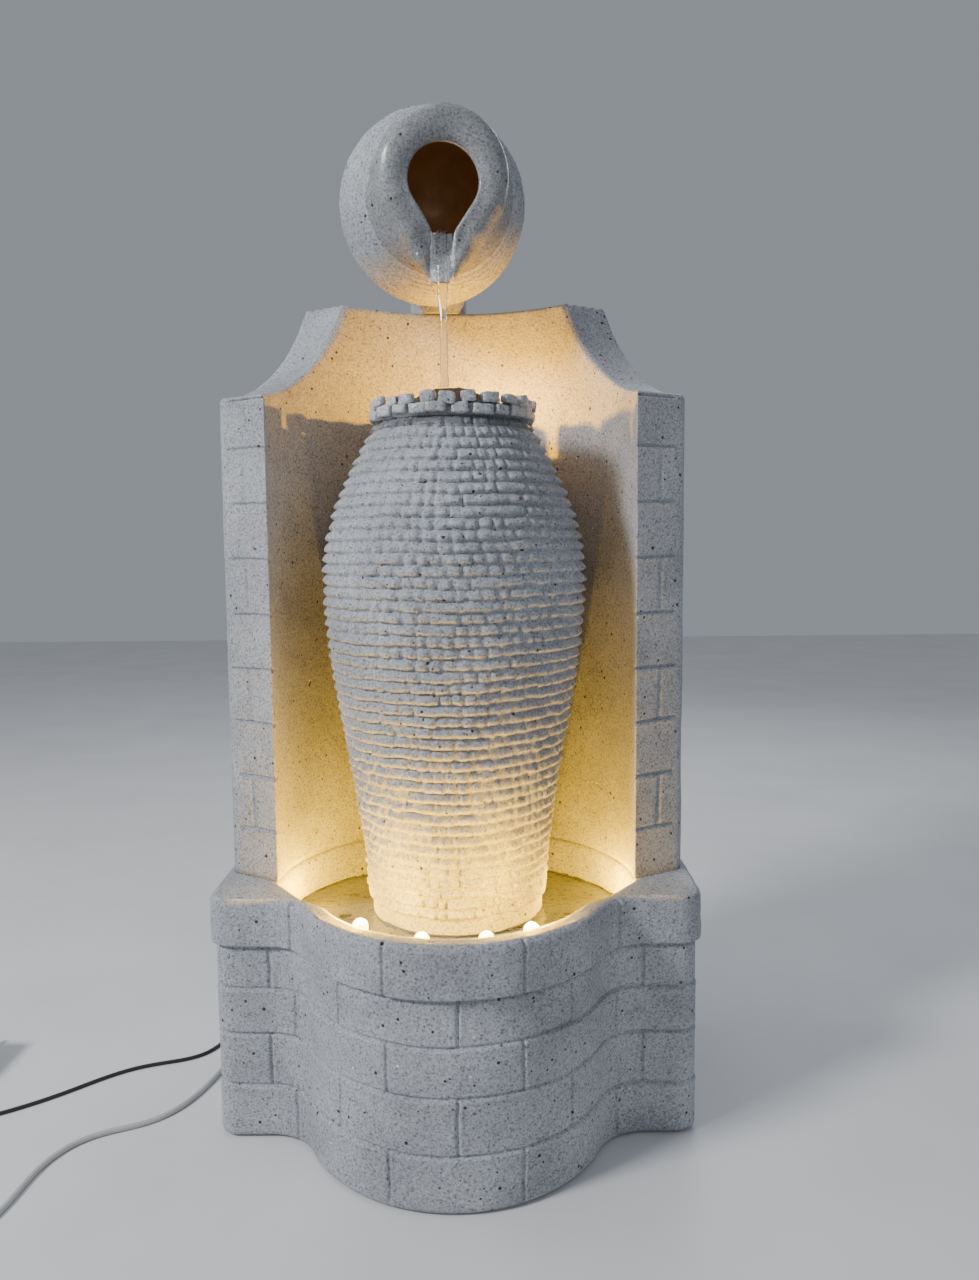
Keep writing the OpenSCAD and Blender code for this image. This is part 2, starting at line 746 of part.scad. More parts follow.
module led_cable() {
    first = pod_angles[0] - 4;
    entry = [junction[0] + junction_size[0] / 2 - 4, junction[1]];
    drop = [led_wire_ring * cos(led_drop_turn), bow_y + led_wire_ring * sin(led_drop_turn)];
    under_z = deck_z - 8;
    run = entry - drop;
    color("black") {
        translate([0, bow_y, led_wire_z]) rotate(first) rotate_extrude(angle = led_drop_turn - first)
            translate([led_wire_ring, 0]) circle(led_wire_r, $fn = 16);
        translate([drop[0], drop[1], under_z]) {
            sphere(led_wire_r + 0.2, $fn = 16);
            cylinder(r = led_wire_r, h = led_wire_z - under_z, $fn = 16);
            rotate([0, 0, atan2(run[1], run[0])]) rotate([0, 90, 0])
                cylinder(r = led_wire_r, h = norm(run), $fn = 16);
        }
        translate([drop[0], drop[1], led_wire_z]) sphere(led_wire_r + 0.2, $fn = 16);
    }
}

module led_junction() {
    color("dimgray") translate([junction[0] - junction_size[0] / 2, junction[1], deck_z - junction_size[2]])
        cube(junction_size);
}

module mouth_led_housing() {
    color("black") translate([mouth_led[0], mouth_led[1], mouth_led_z]) difference() {
        cylinder(r = 6.5, h = 16);
        translate([0, 0, 10]) cylinder(r = 5, h = 7);
    }
}

module mouth_led_lens() {
    color("gold") translate([mouth_led[0], mouth_led[1], mouth_led_z + 10]) {
        cylinder(r = 5, h = 8);
        translate([0, 0, 8]) intersection() {
            sphere(5);
            translate([-10, -10, -eps]) cube([20, 20, 10]);
        }
    }
}

module mouth_led_cable() {
    color("black") translate([mouth_led[0], mouth_led[1], deck_z])
        cylinder(r = led_wire_r, h = mouth_led_z - deck_z, $fn = 16);
}

// Rear face
module drain_plug() {
    color("dimgray") translate([drain[0], 0, drain[1]]) difference() {
        union() {
            along_y(back_y - drain_head_t, drain_head_t - 0.2, drain_head_r);
            along_y(back_y - 20, 18, drain_r - run_gap);
        }
        along_y(back_y - 2.5, 5, 6);
    }
}

module rear_hatch() {
    low_y = back_y - hatch_t - 0.2;
    color(stone) difference() {
        translate([hatch_x - hatch_w / 2, low_y, hatch_z - hatch_h / 2]) cube([hatch_w, hatch_t, hatch_h]);
        hatch_screw_places() along_y(low_y - 1, 10, 1.6);
        hatch_screw_places() translate([0, back_y - 2, 0]) rotate([-90, 0, 0])
            cylinder(r1 = 1.6, r2 = 3.6, h = 2);
        translate([hatch_x - 16, back_y - 2, hatch_z - 5]) cube([32, 5, 10]);
    }
}

module hatch_gasket() {
    low_y = back_y - hatch_seat;
    outside = [hatch_open_w, hatch_h - 4];
    inside = [hatch_open_w - 6, hatch_open_h];
    color("black") translate([hatch_x, low_y, hatch_z]) difference() {
        translate([-outside[0] / 2, 0, -outside[1] / 2]) cube([outside[0], gasket_t, outside[1]]);
        translate([-inside[0] / 2, -1, -inside[1] / 2]) cube([inside[0], 10, inside[1]]);
    }
}

module hatch_screws() {
    color("silver") hatch_screw_places() difference() {
        union() {
            along_y(back_y - 12, 11, 1.5);
            translate([0, back_y - 2, 0]) rotate([-90, 0, 0]) cylinder(r1 = 1.5, r2 = 3.4, h = 1.8);
        }
        translate([-2.5, back_y - 0.9, -0.4]) cube([5, 2, 0.8]);
    }
}

// Cords
module pump_inner_lead() {
    color("lightgray") swept_tube(pump_inner_route, pump_lead_d / 2);
}

module led_inner_lead() {
    color("black") swept_tube(led_inner_route, led_lead_d / 2);
}

module strain_relief(place, cord_r) {
    translate([place[0], back_y, place[2]]) rotate([-90, 0, 0]) difference() {
        union() {
            translate([0, 0, -basin_wall]) cylinder(r = relief_r, h = basin_wall + eps);
            cylinder(r = relief_r + 2, h = 2.5);
            cylinder(r1 = relief_r - 1, r2 = cord_r + 0.8, h = relief_len);
        }
        translate([0, 0, -20]) cylinder(r = cord_r, h = 60);
    }
}

module pump_strain_relief() {
    color("lightgray") strain_relief(pump_exit, pump_lead_d / 2);
}

module led_strain_relief() {
    color("black") strain_relief(led_exit, led_lead_d / 2);
}

module coil_ring(r, wide, high) {
    translate([0, 0, coil_z]) rotate_extrude() translate([r - wide / 2, 0]) square([wide, high]);
}

module coil_tie(r, wide, high, turn) {
    rotate(turn) difference() {
        translate([r - wide / 2 - tie_t, -tie_w / 2, coil_z - tie_t])
            cube([wide + 2 * tie_t, tie_w, high + 2 * tie_t]);
        coil_ring(r, wide + 0.2, high + 0.2);
    }
}

module pump_lead() {
    color("lightgray") swept_tube(pump_route, pump_lead_d / 2);
}

module pump_lead_coil() {
    color("lightgray") translate(pump_coil_c) coil_ring(pump_coil_r, pump_coil_wide, pump_coil_high);
}

module pump_lead_tie() {
    color("black") translate(pump_coil_c) coil_tie(pump_coil_r, pump_coil_wide, pump_coil_high, tie_turn);
}

// Plug with a tapered boot: the boot's tip is where the lead leaves the coil.
module boot(length, tip_r, root_r) {
    rotate([-90, 0, 0]) cylinder(r1 = tip_r, r2 = root_r, h = length);
}

module pump_plug() {
    flat_w = plug_size[0] - plug_size[2];
    color("lightgray") translate(plug_place) {
        boot(boot_len, pump_lead_d / 2 + 0.6, 5);
        translate([0, boot_len + plug_size[1], 0]) rotate([90, 0, 0]) linear_extrude(plug_size[1]) {
            for (s = [-1, 1]) translate([s * flat_w / 2, 0]) circle(plug_size[2] / 2);
            square([flat_w, plug_size[2]], center = true);
        }
    }
}

module pin_pair(y) {
    for (s = [-1, 1]) translate([s * pin_gap / 2, y, 0]) rotate([-90, 0, 0]) {
        cylinder(r = pin_r, h = pin_len - pin_r);
        translate([0, 0, pin_len - pin_r]) intersection() {
            sphere(pin_r);
            translate([-5, -5, -eps]) cube([10, 10, 5]);
        }
    }
}

module pump_plug_pins() {
    color("gold") translate(plug_place) pin_pair(boot_len + plug_size[1]);
}

module led_adapter() {
    round_r = 4;
    flat_w = adapter_size[0] - 2 * round_r;
    flat_l = adapter_size[1] - 2 * round_r;
    color("black") translate(adapter_place) {
        boot(boot_len, led_lead_d / 2 + 0.6, 4.5);
        translate([0, boot_len, -adapter_place[2]]) linear_extrude(adapter_size[2]) {
            for (x = [-1, 1], y = [0, 1]) translate([x * flat_w / 2, round_r + y * flat_l]) circle(round_r);
            translate([-flat_w / 2, 0]) square([flat_w, adapter_size[1]]);
            translate([-adapter_size[0] / 2, round_r]) square([adapter_size[0], flat_l]);
        }
    }
}

module led_adapter_pins() {
    color("gold") translate(adapter_place) pin_pair(boot_len + adapter_size[1]);
}

module led_lead() {
    color("black") swept_tube(led_route, led_lead_d / 2);
}

module led_lead_coil() {
    color("black") translate(led_coil_c) coil_ring(led_coil_r, led_coil_wide, led_coil_high);
}

module led_lead_tie() {
    color("black") translate(led_coil_c) coil_tie(led_coil_r, led_coil_wide, led_coil_high, tie_turn);
}

basin();
feet();
deck();
alcove();
vase();
splash_pad();
pot();
pot_saddle();
inlet_spigot();
riser_hose();
hose_clamp();
pump_body();
pump_volute();
impeller();
impeller_shaft();
intake_grille();
flow_dial();
suction_cups();
led_housings();
led_lenses();
led_cable();
led_junction();
mouth_led_housing();
mouth_led_lens();
mouth_led_cable();
drain_plug();
rear_hatch();
hatch_gasket();
hatch_screws();
pump_inner_lead();
led_inner_lead();
pump_strain_relief();
led_strain_relief();
pump_lead();
pump_lead_coil();
pump_lead_tie();
led_lead();
led_lead_coil();
led_lead_tie();
pump_plug();
pump_plug_pins();
led_adapter();
led_adapter_pins();
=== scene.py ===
import math

import bmesh
import bpy
import numpy as np
from mathutils import Matrix, Vector


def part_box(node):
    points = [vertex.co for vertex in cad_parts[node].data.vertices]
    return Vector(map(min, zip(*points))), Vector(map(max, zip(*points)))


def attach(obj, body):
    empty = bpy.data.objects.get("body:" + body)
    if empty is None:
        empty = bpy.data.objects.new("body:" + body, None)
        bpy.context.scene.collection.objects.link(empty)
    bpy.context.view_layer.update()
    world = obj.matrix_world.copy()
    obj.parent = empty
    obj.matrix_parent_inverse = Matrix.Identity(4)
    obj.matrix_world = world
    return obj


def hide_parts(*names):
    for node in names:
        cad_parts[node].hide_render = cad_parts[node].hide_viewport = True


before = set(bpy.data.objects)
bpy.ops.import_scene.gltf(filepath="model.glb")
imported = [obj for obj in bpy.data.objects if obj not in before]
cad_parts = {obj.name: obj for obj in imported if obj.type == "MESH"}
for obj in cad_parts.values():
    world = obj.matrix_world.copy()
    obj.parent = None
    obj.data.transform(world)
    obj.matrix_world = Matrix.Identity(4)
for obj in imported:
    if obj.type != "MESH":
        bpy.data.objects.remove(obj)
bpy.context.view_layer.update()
MM = 0.001
FOUNTAIN = "fountain"


# ---------------------------------------------------------------- measures
def low_high(node):
    low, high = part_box(node)
    return np.array(low), np.array(high)


def middle_of(node):
    return sum(low_high(node)) / 2


BASIN_LOW, BASIN_HIGH = low_high("basin")
ALCOVE_LOW, ALCOVE_HIGH = low_high("alcove")
DECK_LOW, DECK_HIGH = low_high("deck")
VASE_LOW, VASE_HIGH = low_high("vase")
POT_LOW, POT_HIGH = low_high("pot")

# Basin plan, in metres
LIP = 3.5 * MM
HALF_W = BASIN_HIGH[0] - LIP
BACK_Y = BASIN_HIGH[1]
BOW_Y = -22 * MM
BOW_R = BOW_Y - BASIN_LOW[1] - LIP
FRONT_Y = -47 * MM
FILLET_R = 40 * MM
CORNER_R = 14 * MM
BACK_CORNER_R = 5 * MM
FOOT_ROUND = 4 * MM
RIM_ROUND = 4.5 * MM
WALL = 7 * MM
FLOOR_Z = 8 * MM
LEDGE_LOW = 124 * MM
LEDGE_WIDTH = 8 * MM
RIM_Z = BASIN_HIGH[2]
COURSES = np.array([41, 80, 114, 146]) * MM
POOL_DEPTH = 4.5 * MM
OPENING_R = 99 * MM
OPENING_BEND_Y = -67 * MM
OPENING_CORNER = np.array([107, -51]) * MM
# Upright joints of even and odd courses: degrees round the bow, then places on the flat front
EVEN_JOINT_TURNS = (-22, 24)
ODD_JOINT_TURNS = (-43, 2, 45)
EVEN_JOINT_X = 114 * MM
ODD_JOINT_X = 135 * MM
MORTAR_DEPTH = 1.9 * MM
MORTAR_WIDTH = 1.15 * MM
JOINT_DEPTH = 1.8 * MM
JOINT_WIDTH = 1.1 * MM

# Alcove
NICHE_Y = ALCOVE_LOW[1]
NICHE_R = 134 * MM
SIDE_R = 176 * MM
FACE_TURN = math.radians(31)
# Turn about the niche's axis at which the round side starts, and the rounded one for the corner columns
FACE_END = math.atan2(24.2, 174.3)
CORNER_END = 0.138
EDGE_ROUND = 4 * MM
SCOOP_R = 120 * MM
SCOOP_Y = -102.3 * MM
SCOOP_Z = 662.5 * MM
FIRST_JOINT = 219 * MM
PILLAR_COURSE = 40.5 * MM
LAST_JOINT = 538.5 * MM
PILLAR_JOINTS = [FIRST_JOINT + i * PILLAR_COURSE for i in range(8)] + [LAST_JOINT]
PILLAR_MIDDLE = 21.5 * MM

# Vase
VASE_Y = (VASE_LOW[1] + VASE_HIGH[1]) / 2
BELLY_R = 96.4 * MM
FOOT_R = 66 * MM
NECK_R = 55 * MM
BELLY_Z = 410 * MM
TILE_LOW = 524 * MM
TILES = 24
TILE_RING = 62 * MM
NECK_BAND_R = 59.5 * MM
VASE_WALL = 6 * MM
WET_FROM = 516 * MM
COURSE_LOW = 163 * MM
COURSE_PITCH = 8 * MM
COURSE_DEPTH = 3.9 * MM
VASE_BRICKS = 62
VASE_COLUMNS = 352

# Pot
POT_R = 72 * MM
POT_C = np.array([(POT_LOW[0] + POT_HIGH[0]) / 2, POT_HIGH[1] - POT_R, POT_HIGH[2] - POT_R])
POT_WALL = 8 * MM
POT_CELL = 1.35 * MM
MOUTH_C = np.array([-5, 7, 697]) * MM
POT_YAW = math.radians(10)
POT_TILT = math.radians(9)
LIP_RING = 36.5 * MM
LIP_THICK = 12.2 * MM
LIP_LEG_TURN = math.radians(-25.5)
# Across, up and radius, in millimetres
LIP_LEGS = ((33.0, -15.7, 12.2), (22.0, -34.0, 11.6), (14.0, -53.0, 6.6), (7.0, -69.0, 2.4))
TROUGH_LOW = -70 * MM
SPOUT_REACH = 6 * MM
SILL_HEIGHT = -36 * MM
SILL_DEPTH = 5 * MM
# Radius of the circle, radius of the tip, and the tip's distance below the circle
NECK_TEAR = np.array([41.5, 9, 61]) * MM
THROAT_TEAR = np.array([26, 5.5, 37]) * MM
THROAT_DEPTH = 34 * MM
RIB_PITCH = 4.6 * MM
RIB_HEIGHT = 1.1 * MM


# ---------------------------------------------------------------- numbers
def xyz(x, y, z):
    """Points from three coordinates, each an array or one number."""
    return np.stack(np.broadcast_arrays(x, y, z), -1)


def lattice(i, j, k, seed):
    """Repeatable pick from 0 to 1 for each trio of whole numbers."""
    h = (i * 374761393 + j * 668265263 + k * 2147483647 + seed * 974711) & 0xFFFFFFFF
    h = ((h ^ (h >> 13)) * 1274126177) & 0xFFFFFFFF
    h = ((h ^ (h >> 16)) * 2246822519) & 0xFFFFFFFF
    return ((h >> 8) & 0xFFFF) / 65535.0


def value_noise(points, size, seed=0):
    """Smooth noise from -1 to 1 at points, with bumps about size across. Each seed gives another pattern."""
    q = np.asarray(points) / size
    base = np.floor(q).astype(np.int64)
    f = q - base
    f = f * f * (3 - 2 * f)
    total = 0
    for corner in range(8):
        d = [(corner >> axis) & 1 for axis in range(3)]
        weight = 1
        for axis in range(3):
            weight = weight * (f[..., axis] if d[axis] else 1 - f[..., axis])
        total = total + weight * lattice(*(base[..., axis] + d[axis] for axis in range(3)), seed)
    return 2 * total - 1


def dip(distance, width):
    """Smooth hump: 1 at no distance, and next to nothing beyond twice its width."""
    return np.exp(-((distance / width) ** 2))


def groove(off, depth, width, edge):
    """A mortar groove, with the brick below it standing a little proud at its edge."""
    return edge * dip(off + 2.6 * MM, 1.3 * MM) - depth * dip(off, width)


def smoothstep(low, high, x):
    t = np.clip((x - low) / (high - low), 0, 1)
    return t * t * (3 - 2 * t)


def stations(low, high, step, fine_at=(), fine_step=0.6 * MM, reach=3 * MM):
    """Rising places from low to high, a step apart and closer together around fine_at."""
    places = list(np.linspace(low, high, max(2, int(round((high - low) / step)) + 1)))
    for centre in fine_at:
        near = np.arange(centre - reach, centre + reach + fine_step / 2, fine_step)
        places = [p for p in places if abs(p - centre) > reach + fine_step / 2 or p in (low, high)]
        places += [p for p in near if low < p < high]
    return np.array(sorted(set(places)))


def arc(centre, radius, start, end, step=1.0):
    count = max(3, int(abs(end - start) / step) + 1)
    turn = np.radians(np.linspace(start, end, count))
    return np.array(centre) + radius * np.stack([np.cos(turn), np.sin(turn)], -1)


def mirrored_loop(half):
    """Closes a half outline, which runs from the front centre to the back centre, with its mirror."""
    left = half[::-1][1:-1] * [-1, 1]
    return np.concatenate([half, left])


def along(loop, places=None, step=None):
    """Points on a closed outline at the given distances from its start, and its whole length."""
    closed = np.concatenate([loop, loop[:1]])
    run = np.concatenate([[0], np.cumsum(np.linalg.norm(np.diff(closed, axis=0), axis=1))])
    if places is None:
        places = np.linspace(0, run[-1], int(run[-1] / step), endpoint=False)
    return np.stack([np.interp(places, run, closed[:, axis]) for axis in (0, 1)], axis=1), run[-1]


def outward(loop):
    """Unit outward normals of a closed outline that runs anticlockwise."""
    ahead = np.roll(loop, -1, axis=0) - np.roll(loop, 1, axis=0)
    normal = np.stack([ahead[:, 1], -ahead[:, 0]], axis=1)
    return normal / np.linalg.norm(normal, axis=1, keepdims=True)


def on_rays(loop, centre, rays):
    """Where rays from centre, at rising angles, meet a closed outline that they cross once."""
    dense, _ = along(loop, step=MM)
    rel = dense - centre
    angle = np.unwrap(np.arctan2(rel[:, 1], rel[:, 0]))
    radius = np.linalg.norm(rel, axis=1)
    angle = np.concatenate([angle - 2 * np.pi, angle, angle + 2 * np.pi])
    order = np.argsort(angle)
    reach = np.interp(rays, angle[order], np.tile(radius, 3)[order])
    return centre + np.stack([reach * np.cos(rays), reach * np.sin(rays)], axis=1)


# ---------------------------------------------------------------- meshes
def add_object(name, data):
    thing = bpy.data.objects.new(name, data)
    bpy.context.collection.objects.link(thing)
    return thing


def mesh_object(name, verts, faces, material, smooth=True):
    mesh = bpy.data.meshes.new(name)
    mesh.from_pydata(np.asarray(verts).tolist(), [], [tuple(f) for f in faces])
    mesh.polygons.foreach_set("use_smooth", [smooth] * len(mesh.polygons))
    if material:
        mesh.materials.append(material)
    return add_object(name, mesh)


def tidy_mesh(piece, merge=0.02 * MM):
    work = bmesh.new()
    work.from_mesh(piece.data)
    bmesh.ops.remove_doubles(work, verts=work.verts, dist=merge)
    bmesh.ops.dissolve_degenerate(work, edges=work.edges, dist=merge / 4)
    bmesh.ops.recalc_face_normals(work, faces=work.faces)
    work.to_mesh(piece.data)
    work.free()


def tidy_object(name, verts, faces, material, merge=0.02 * MM):
    piece = mesh_object(name, verts, faces, material)
    tidy_mesh(piece, merge)
    return piece


def sheet_faces(rows, columns, wrap=True, first=0):
    """Quads of a grid whose columns may join up into a ring."""
    r, c = np.meshgrid(np.arange(rows - 1), np.arange(columns if wrap else columns - 1), indexing="ij")
    n = (c + 1) % columns
    here = r * columns
    above = here + columns
    quads = np.stack([here + c, here + n, above + n, above + c], axis=-1)
    return quads.reshape(-1, 4) + first


def turned_grid(profile, count):
    """Radius, height and turn at every point of a profile of (radius, height) turned about an axis."""
    turn = np.linspace(0, 2 * np.pi, count, endpoint=False)
    radius, z = np.array(profile).T
    grid_z, grid_t = np.meshgrid(z, turn, indexing="ij")
    return np.repeat(radius[:, None], count, axis=1), grid_z, grid_t


def fan_faces(ring_first, count, centre):
    return [(ring_first + i, ring_first + (i + 1) % count, centre) for i in range(count)]


def displace(piece, amount):
    """Moves each vertex along its normal by amount(points)."""
    mesh = piece.data
    count = len(mesh.vertices)
    points = np.empty(count * 3)
    mesh.vertices.foreach_get("co", points)
    points = points.reshape(-1, 3)
    normals = np.empty(count * 3, dtype=np.float32)
    mesh.vertices.foreach_get("normal", normals)
    points += normals.reshape(-1, 3) * amount(points)[:, None]
    mesh.vertices.foreach_set("co", points.ravel())
    mesh.update()


def cast_surface(points, waviness=0.45 * MM, sand=0.10 * MM):
    """Unevenness of a hand-laid casting: slow waves, dimples and sand."""
    return (waviness * value_noise(points, 55 * MM, 1) + 0.35 * waviness * value_noise(points, 14 * MM, 2)
            + sand * value_noise(points, 3.2 * MM, 3) + 0.6 * sand * value_noise(points, 1.6 * MM, 4))


# ---------------------------------------------------------------- materials
class Graph:
    """A new material, with short names for the shader nodes that it is made of."""

    def __init__(self, name):
        self.material = bpy.data.materials.new(name)
        self.material.use_nodes = True
        self.nodes = self.material.node_tree.nodes
        self.links = self.material.node_tree.links
        self.shader = self.nodes["Principled BSDF"]
        self.place = self.node("TexCoord").outputs["Object"]

    def link(self, source, target):
        self.links.new(source, target)

    def node(self, kind, **values):
        """A new node, with its sockets set or linked by name."""
        node = self.nodes.new("ShaderNode" + kind)
        for socket, value in values.items():
            self.feed(node.inputs[socket], value)
        return node

    def feed(self, socket, value):
        """Sets a socket to a number or colour, or links it to another node's output."""
        if isinstance(value, (int, float, tuple)):
            socket.default_value = value
        elif value is not None:
            self.link(value, socket)

    def noise(self, scale, detail=2.0, rough=0.5, distortion=0.0):
        return self.node("TexNoise", Vector=self.place, Scale=scale, Detail=detail, Roughness=rough,
                         Distortion=distortion).outputs["Fac"]

    def cells(self, scale, place=None):
        return self.node("TexVoronoi", Vector=place or self.place, Scale=scale)

    def turned(self, **values):
        return self.node("Mapping", Vector=self.place, **values).outputs["Vector"]

    def ramp(self, source, stops):
        node = self.node("ValToRGB", Fac=source)
        while len(node.color_ramp.elements) < len(stops):
            node.color_ramp.elements.new(0.5)
        for element, (position, value) in zip(node.color_ramp.elements, stops):
            element.position = position
            element.color = value if isinstance(value, tuple) else (value, value, value, 1)
        return node.outputs["Color"]

    def math(self, operation, a, b=None):
        node = self.node("Math")
        node.operation = operation
        for socket, value in zip(node.inputs, (a, b)):
            self.feed(socket, value)
        return node.outputs[0]

    def mix(self, factor, a, b, blend="MIX"):
        node = self.node("Mix")
        node.data_type = "RGBA"
        node.blend_type = blend
        for socket, value in (("Factor", factor), ("A", a), ("B", b)):
            self.feed(node.inputs[socket], value)
        return node.outputs["Result"]

    def bump(self, height, strength, distance, under=None):
        node = self.node("Bump", Strength=strength, Distance=distance, Height=height, Normal=under)
        return node.outputs["Normal"]

    def finish(self, colour=None, rough=None, normal=None, **values):
        for socket, value in (("Base Color", colour), ("Roughness", rough), ("Normal", normal)):
            self.feed(self.shader.inputs[socket], value)
        for socket, value in values.items():
            self.shader.inputs[socket.replace("_", " ")].default_value = value
        return self.material


def specks(graph, scale, size, share, seed_turn):
    """Mask of round grains: one per cell in a share of the cells."""
    place = graph.turned(
        Rotation=(seed_turn, seed_turn * 1.7, seed_turn * 0.6), Location=(seed_turn, seed_turn * 2, 0))
    cell = graph.cells(scale, place)
    split = graph.node("SeparateColor", Color=cell.outputs["Color"])
    chosen = graph.math("LESS_THAN", split.outputs["Red"], share)
    grown = graph.math("MULTIPLY", split.outputs["Green"], size)
    grown = graph.math("ADD", grown, size * 0.35)
    inside = graph.math("LESS_THAN", cell.outputs["Distance"], grown)
    return graph.math("MULTIPLY", chosen, inside)


def shades(low, dark, high, pale):
    """Two stops of a ramp, from colours without alpha."""
    return [(low, (*dark, 1)), (high, (*pale, 1))]


def stone_material(name, pale, dark, rough_low, rough_high, sand=0.35, speck_share=0.16):
    """Granite-effect casting: sandy pale ground, black, grey and rust grains, and a few glossy specks with
    glints painted on as near-white colour.
    """
    g = Graph(name)
    mottling = g.ramp(g.noise(14, 3, 0.6), shades(0.30, dark, 0.72, pale))
    grain_height = g.noise(620, 3, 0.75)
    grain = g.ramp(grain_height, [(0.34, 0.50), (0.5, 0.94), (0.66, 1.26)])
    colour = g.mix(1.0, mottling, grain, "MULTIPLY")
    for scale, size, share, turn, strength, tint in (
            (430, 0.34, 0.42, 0.7, 0.55, (0.085, 0.085, 0.095, 1)),
            (190, 0.19, speck_share, 1.9, 0.95, (0.022, 0.020, 0.022, 1)),
            (150, 0.15, speck_share * 0.35, 3.1, 0.9, (0.15, 0.040, 0.022, 1))):
        mask = g.math("MULTIPLY", specks(g, scale, size, share, turn), strength)
        colour = g.mix(mask, colour, tint)
    # Painted glints: a few specks get near-white colour that stands in for sparkling light, and the roughness
    # below makes the same specks glossy.
    painted_glint_and_gloss = specks(g, 170, 0.11, 0.05, 4.3)
    colour = g.mix(painted_glint_and_gloss, colour, (0.92, 0.93, 0.95, 1))
    rough = g.ramp(g.noise(60, 2, 0.5), [(0.35, rough_low), (0.65, rough_high)])
    rough = g.mix(g.math("MULTIPLY", painted_glint_and_gloss, 0.8), rough, (0.08, 0.08, 0.08, 1))
    pits = g.bump(g.noise(260, 3, 0.6), sand * 0.7, 0.0009)
    normal = g.bump(grain_height, sand, 0.0004, pits)
    return g.finish(colour, rough, normal, Specular_IOR_Level=0.4)


def plastic_material(name, colour, rough=0.45, texture=0.25, scale=1400, **values):
    g = Graph(name)
    tone = g.ramp(g.noise(30, 2, 0.5), shades(0.3, [c * 0.86 for c in colour], 0.7, colour))
    shade = g.ramp(g.noise(90, 3, 0.6), [(0.3, rough * 0.85), (0.7, min(1.0, rough * 1.15))])
    normal = g.bump(g.noise(scale, 2, 0.5), texture, 0.0002)
    return g.finish(tone, shade, normal, **values)


def metal_material(name, colour, rough=0.25):
    g = Graph(name)
    brushed = g.node("TexNoise", Vector=g.turned(Scale=(1, 1, 40)), Scale=60).outputs["Fac"]
    tone = g.ramp(brushed, shades(0.3, [c * 0.8 for c in colour], 0.7, colour))
    shade = g.ramp(brushed, [(0.3, rough * 0.7), (0.7, rough * 1.4)])
    return g.finish(tone, shade, g.bump(brushed, 0.1, 0.0002), Metallic=1.0)


def water_material(name):
    g = Graph(name)
    normal = g.bump(g.noise(120, 2, 0.5, 0.4), 0.25, 0.0015)
    return g.finish((0.97, 0.98, 1.0, 1), 0.02, normal, IOR=1.333, Transmission_Weight=1.0)


def light_material(name, colour, strength):
    g = Graph(name)
    glow = g.ramp(g.noise(400, 1, 0.5), shades(0.2, [c * 0.9 for c in colour], 0.8, colour))
    g.link(glow, g.shader.inputs["Emission Color"])
    return g.finish(glow, 0.3, None, Emission_Strength=strength)


STONE = stone_material("cast_stone", (0.47, 0.485, 0.51), (0.31, 0.32, 0.345), 0.62, 0.85)
WET_STONE = stone_material("wet_stone", (0.30, 0.31, 0.325), (0.13, 0.135, 0.145), 0.16, 0.34, 0.2)
LIP_STONE = stone_material("pot_lip_stone", (0.36, 0.37, 0.375), (0.20, 0.207, 0.215), 0.22, 0.42, 0.12, 0.14)
RIM_STONE = stone_material("rim_stone", (0.64, 0.655, 0.675), (0.36, 0.37, 0.385), 0.16, 0.5, 0.3, 0.12)
# Paler stone for the spout's trough: painted light, which stands in for the light that the shaded trough does
# not get.
SPOUT_PAINTED_LIGHT_STONE = stone_material("spout_painted_light_stone", (0.80, 0.80, 0.80), (0.60, 0.60, 0.605), 0.1, 0.25, 0.2, 0.06)
WATER = water_material("clear_water")


# ---------------------------------------------------------------- basin
def fillet_between(bow, face, fillet):
    """Centre of the fillet from the bow to the flat front, and the turn at which it meets the bow."""
    y = face - fillet
    x = math.sqrt((bow + fillet) ** 2 - (BOW_Y - y) ** 2)
    return x, y, math.degrees(math.atan2(y - BOW_Y, x))


def basin_half_outline(grow=0.0):
    """Right half of the basin's plan, from the middle of the bow round to the middle of the back."""
    bow = BOW_R + grow
    fillet = FILLET_R - grow
    face = FRONT_Y - grow
    half = HALF_W + grow
    back = BACK_Y + min(grow, 0)
    fillet_x, fillet_y, meet = fillet_between(bow, face, fillet)
    return np.concatenate([
        arc((0, BOW_Y), bow, -90, meet),
        arc((fillet_x, fillet_y), fillet, 180 + meet, 90, 2)[1:],
        arc((half - CORNER_R, face + CORNER_R), CORNER_R, -90, 0, 6),
        arc((half - BACK_CORNER_R, back - BACK_CORNER_R), BACK_CORNER_R, 0, 90, 15),
        [[0, back]],
    ])


def opening_half_outline(grow=0.0):
    """Right half of the pool's opening, which runs on into the niche."""
    ring = OPENING_R + grow
    bend = math.degrees(math.asin((OPENING_BEND_Y - BOW_Y) / ring))
    return np.concatenate([
        arc((0, BOW_Y), ring, -90, bend),
        [OPENING_CORNER + [grow, 0]],
        arc((0, NICHE_Y), NICHE_R + grow, 0, 90),
    ])


def joint_places(row, length):
    """Distances along the outline, from the middle of the bow, of one course's upright joints."""
    even = row % 2 == 0
    fillet_x, _, meet = fillet_between(BOW_R, FRONT_Y, FILLET_R)
    flat_start = math.radians(90 + meet) * (BOW_R + FILLET_R)
    flat = flat_start + (EVEN_JOINT_X if even else ODD_JOINT_X) - fillet_x
    places = [math.radians(turn) * BOW_R for turn in (EVEN_JOINT_TURNS if even else ODD_JOINT_TURNS)]
    return np.array(sorted(place % length for place in places + [flat, -flat]))


def nearest_way(run, length):
    """The shorter way round a closed outline, less than zero when it is backwards."""
    return (run + length / 2) % length - length / 2


